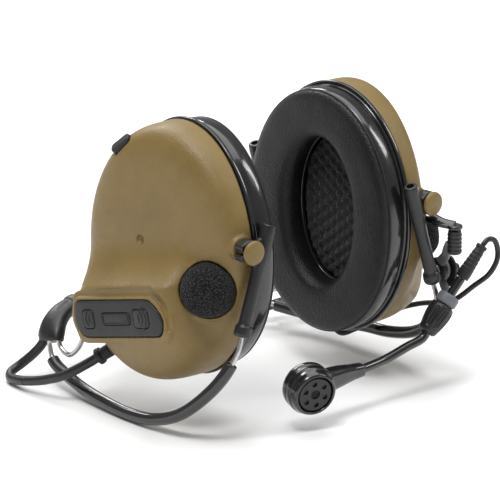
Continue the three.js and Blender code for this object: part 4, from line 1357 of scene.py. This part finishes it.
def make_link():
    """Black swivel barrel with grip ribs, the grey strap on its side and the black tilt disc."""
    barrel = [(0, -11), (2.5, -11), (3.1, -10.2)]
    for k in range(5):
        low = -9.9 + k * 1.75
        barrel += [(3.15, low), (3.15, low + 0.9), (2.85, low + 1.05), (2.85, low + 1.6)]
    barrel += [(2.9, -0.9), (2.6, -0.25), (0, -0.2)]
    barrel = melt(turned("boom_swivel_barrel", barrel, SWIVEL_TOP, UP, None, 40, 0.25), 0.24, 1)
    bore_swivel_and_pin(barrel)
    stands_for(barrel, SATIN, "satin_black", "link", "boom_link")
    disc = turned("boom_tilt_disc", [(0, -1.4), (4.6, -1.4), (5.3, -0.8), (5.4, 0.1), (5.1, 0.4), (0, 0.4)],
                  TILT_MIDDLE, OUT, None, 48, 0.2)
    bore_swivel_and_pin(disc)
    stands_for(disc, SATIN, "satin_black", "link", "boom_link")
    strap = sweep("boom_link_strap", [(55.8, -54.4, -7.4), (57, -51.8, -11),
                                      (60.2, -47.6, -15.4), (62.2, -42.6, -19.8)],
                  [1.9, 2, 2.1, 2.4], [1.1, 1, 0.9, 0.8], (0.1, -0.85, -0.5), None, 28, 0.4, 3.4, 0.4)
    bore_swivel_and_pin(strap)
    stands_for(strap, GREY, "satin_black", "link", "boom_link")


def make_hoop():
    """Grey yoke: tilt disc, curved strap and the collar that holds the boom; black cover over the pin."""
    parts = [
        turned("collar", [(2.5, -2.4), (4.3, -2.4), (4.75, -1.4), (4.75, 1.6), (4.2, 2.4), (2.5, 2.4),
                          (2.5, -2.4)],
               CLAMP_MIDDLE, CLAMP_AXIS, None, 48, 0.4, 50, True),
        turned("disc", [(0, 0.7), (5.2, 0.7), (5.2, 2.2), (4.8, 2.6), (0, 2.6)], TILT_MIDDLE, OUT, None, 48,
               0.3),
        sweep("strap", [(64.75, -41.2, -26.4), (64.4, -42.4, -29.8), (62.1, -46.7, -31.7),
                        (58.9, -50.6, -32.1)],
              [2.4, 2.3, 2.0, 1.8], [0.9, 0.9, 0.9, 1.1], (0, 0.75, -0.65), None, 24, 0.4, 3.2, 0.3),
    ]
    hoop = melt(merged("boom_hoop_moulding", parts), 0.24, 2)
    cut(hoop, [
        cylinder("pin_bore", 1.9, -4, 4, TILT_MIDDLE, OUT, None, 24, 0.05),
        cylinder("rod_bore", 2.5, -5, 22, CLAMP_MIDDLE, CLAMP_AXIS, None, 32, 0.05)])
    tidy_mesh(hoop.data, 50)
    moved(hoop, head_matrix())
    stands_for(hoop, GREY, "grey_plastic", "hoop", "boom_hoop")
    pin = turned("tilt_pin_rivet", [(0, -2.8), (2.4, -2.8), (2.9, -2.3), (2.9, -1.7), (1.6, -1.7), (1.6, 2.9),
                                    (0, 2.9)],
                 TILT_MIDDLE, OUT, head_matrix(), 36, 0.15)
    stands_for(pin, STEEL, "steel", "hoop", "boom_tilt_pin")
    shift = Matrix.Translation(TILT_MIDDLE + Vector((3.2, -2.6, -0.8)))
    oval = [(4.6, 7, 0), (4.6, 7, 0.8), (4.5, 6.9, 1.2), (4, 6.4, 1.5), (3, 5.2, 1.55), (1, 2, 1.56)]
    cover = loft("cover", [oval_ring(across, high, out, 64) for across, high, out in oval], None, False, 50)
    moved(cover, shift)
    boss = turned("boss", [(0, 0.4), (2.3, 0.4), (1.9, 1.6), (1.9, 3.2), (1.5, 3.8), (0, 3.8)],
                  TILT_MIDDLE + Vector((3.2, -4.4, 0.8)), OUT, None, 32, 0.3)
    cap = melt(merged("boom_tilt_cover_moulding", [cover, boss]), 0.22, 2)
    moved(cap, head_matrix())
    stands_for(cap, SATIN, "satin_black", "hoop", "boom_tilt_cover")


def make_knob():
    """Clamp knob: a barrel with long rounded grip slots round it."""
    outline = [(2.55, -16.5), (3.1, -16.6), (3.9, -15.8), (4.45, -13.6), (5.0, -11), (5.4, -8), (5.4, -5.2),
               (4.9, -3.3), (4.2, -2.75), (2.55, -2.75)]
    profile = fine_profile([(radius / PROFILE_SCALE, height) for radius, height in outline], 0.28)
    place = axis_matrix(CLAMP_MIDDLE, CLAMP_AXIS)
    segments = 144
    rings = []
    for share, height in profile:
        radius = share * PROFILE_SCALE
        ring = []
        for i in range(segments):
            angle = 2 * math.pi * i / segments
            across = (angle * KNOB_SLOTS / (2 * math.pi)) % 1 - 0.5
            along = (height + 9.2) / 4.8
            depth = 1 - (abs(across) / 0.3) ** 4 - abs(along) ** 5
            dent = 0.62 * min(max(depth * 2.2, 0), 1) if radius > 3.4 else 0
            rib = 0.3 * min(max((1 - (abs(across) / 0.1) ** 4 - abs(along * 1.15) ** 6) * 2, 0), 1)
            reach = radius - dent + (rib if dent else 0)
            ring.append(place @ Vector((reach * math.cos(angle), reach * math.sin(angle), height)))
        rings.append(ring)
    knob = loft("clamp_knob_barrel", rings, head_matrix(), True, 60)
    stands_for(knob, SATIN, "satin_black", "knob", "clamp_knob")


def make_boom():
    """Boom rod, its strain relief and the microphone capsule."""
    rod = tube("boom_rod_bent", [on_clamp(11), on_clamp(2), on_clamp(-8), on_clamp(-15.5), on_clamp(-19.5),
                                 (36.3, -49.7, -50.1), (24.3, -49.1, -53.1),
                                 (14.9, -49.1, -54.1), (10.3, -49.1, -54.4)], ROD_RADIUS, 0.8, 24)
    stands_for(rod, GLOSS, "gloss_black", "boom", "boom_rod")
    profile = [(0, 11.3), (2.9, 11.3), (3.05, 14)]
    for k in range(5):
        low = 15 + k * 2
        thick = 2.95 - 0.13 * k
        profile += [(thick, low), (thick, low + 1.2), (thick - 0.2, low + 1.35), (thick - 0.2, low + 1.85)]
    profile += [(2.15, 26), (2.5, 26.3), (2.5, 27.4), (2.1, 27.7), (0, 27.7)]
    relief = turned("boom_cable_relief", profile, CLAMP_MIDDLE, CLAMP_AXIS, head_matrix(), 36, 0.3)
    stands_for(relief, RUBBER, "rubber", "boom", "boom_strain_relief")
    capsule = turned("capsule", [(0, -6.6), (7.4, -6.6), (9.6, -5.6), (10.7, -3.6), (10.8, -1.2),
                                 (10.3, -0.9), (10.3, -0.5), (10.8, -0.2), (10.8, 2.4), (10.2, 3.2),
                                 (9.9, 4.8), (9.3, 6.2), (8.5, 6.6), (8.1, 6.2), (8.0, 4.4), (0, 4.4)],
                                 MIC_MIDDLE, MIC_AXIS, None, 96, 0.5)
    neck = sweep("neck", [(10, -49.1, -54.4), (4.3, -48.9, -54.4), (-2.7, -49.1, -54.3),
                          (-13.2, -49.6, -54.5)], [2.9, 3.4, 4.4, 5.4], [2.9, 3.2, 3.8, 4.4], UP, None, 48,
                 0.6, 2.8, 0.8)
    housing = melt(merged("mic_capsule", [capsule, neck]), 0.3, 2)
    moved(housing, head_matrix())
    stands_for(housing, GLOSS, "gloss_black", "boom", "mic_housing")
    make_grille()


def make_grille():
    """Front disc of the microphone with six ports round a meshed middle one."""
    disc = turned("mic_front_disc", [(0, 4.7), (7.6, 4.7), (7.6, 5.7), (7.2, 6.1), (6.4, 6.0), (0, 6.0)],
                  MIC_MIDDLE, MIC_AXIS, None, 96, 0.2)
    turn = axis_matrix(MIC_MIDDLE, MIC_AXIS)
    tools = [turned("middle_port", [(0, 5.2), (2.05, 5.2), (2.2, 8), (0, 8)], MIC_MIDDLE, MIC_AXIS, None, 40,
                    0.02)]
    for k in range(6):
        angle = k * math.pi / 3 + 0.4
        place = turn @ Vector((4.9 * math.cos(angle), 4.9 * math.sin(angle), 0))
        tools.append(turned("port", [(0, 5.0), (1.1, 5.0), (1.25, 8), (0, 8)], place, MIC_AXIS, None, 28,
                            0.02))
    cut(disc, [merged("ports", tools)])
    strands = [disc]
    for k in range(-2, 3):
        reach = math.sqrt(2.0 ** 2 - (k * 0.75) ** 2)
        for a, b in (((k * 0.75, -reach), (k * 0.75, reach)), ((-reach, k * 0.75), (reach, k * 0.75))):
            ends = [turn @ Vector((x, y, 5.45)) for x, y in (a, b)]
            points = [ends[0], (ends[0] + ends[1]) / 2, ends[1]]
            strands.append(tube("strand", points, 0.16, 0.5, 8, 0, Matrix()))
    grille = merged("mic_front_grille", strands)
    tidy_mesh(grille.data, 35)
    moved(grille, head_matrix())
    stands_for(grille, SATIN, "satin_black", "boom", "mic_grille")


def make_cable_boot():
    """Small boot where the microphone cable enters the left cup."""
    boot = turned("mic_cable_boot_rubber", [(0, -2), (1.2, -2), (1.2, 6.7), (2.3, 6.8), (2.4, 7.6), (2.1, 8),
                                            (2.1, 8.6), (2.2, 8.8), (2.05, 9.4), (2.1, 10.2), (1.8, 10.4),
                                            (0, 10.4)],
                  BOOT_BASE, BOOT_AXIS, cup_matrix(LEFT), 32, 0.2)
    stands_for(boot, RUBBER, "rubber", "left_cup", "left_mic_cable_boot")


make_bracket()
make_link()
make_hoop()
make_knob()
make_boom()
make_cable_boot()


# ---------------------------------------------------------------- hidden CAD pieces and the closing lines

def dress_inner_parts():
    """Material on the CAD pieces that stay: speakers, boards, ambient microphones and the cell."""
    looks = {"speaker": SATIN, "circuit_board": BOARD, "ambient_mic": STEEL, "battery_cell": JACKET}
    for name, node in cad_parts.items():
        for ending, look in looks.items():
            if name.endswith(ending):
                for place in node.material_slots:
                    place.material = look


dress_inner_parts()
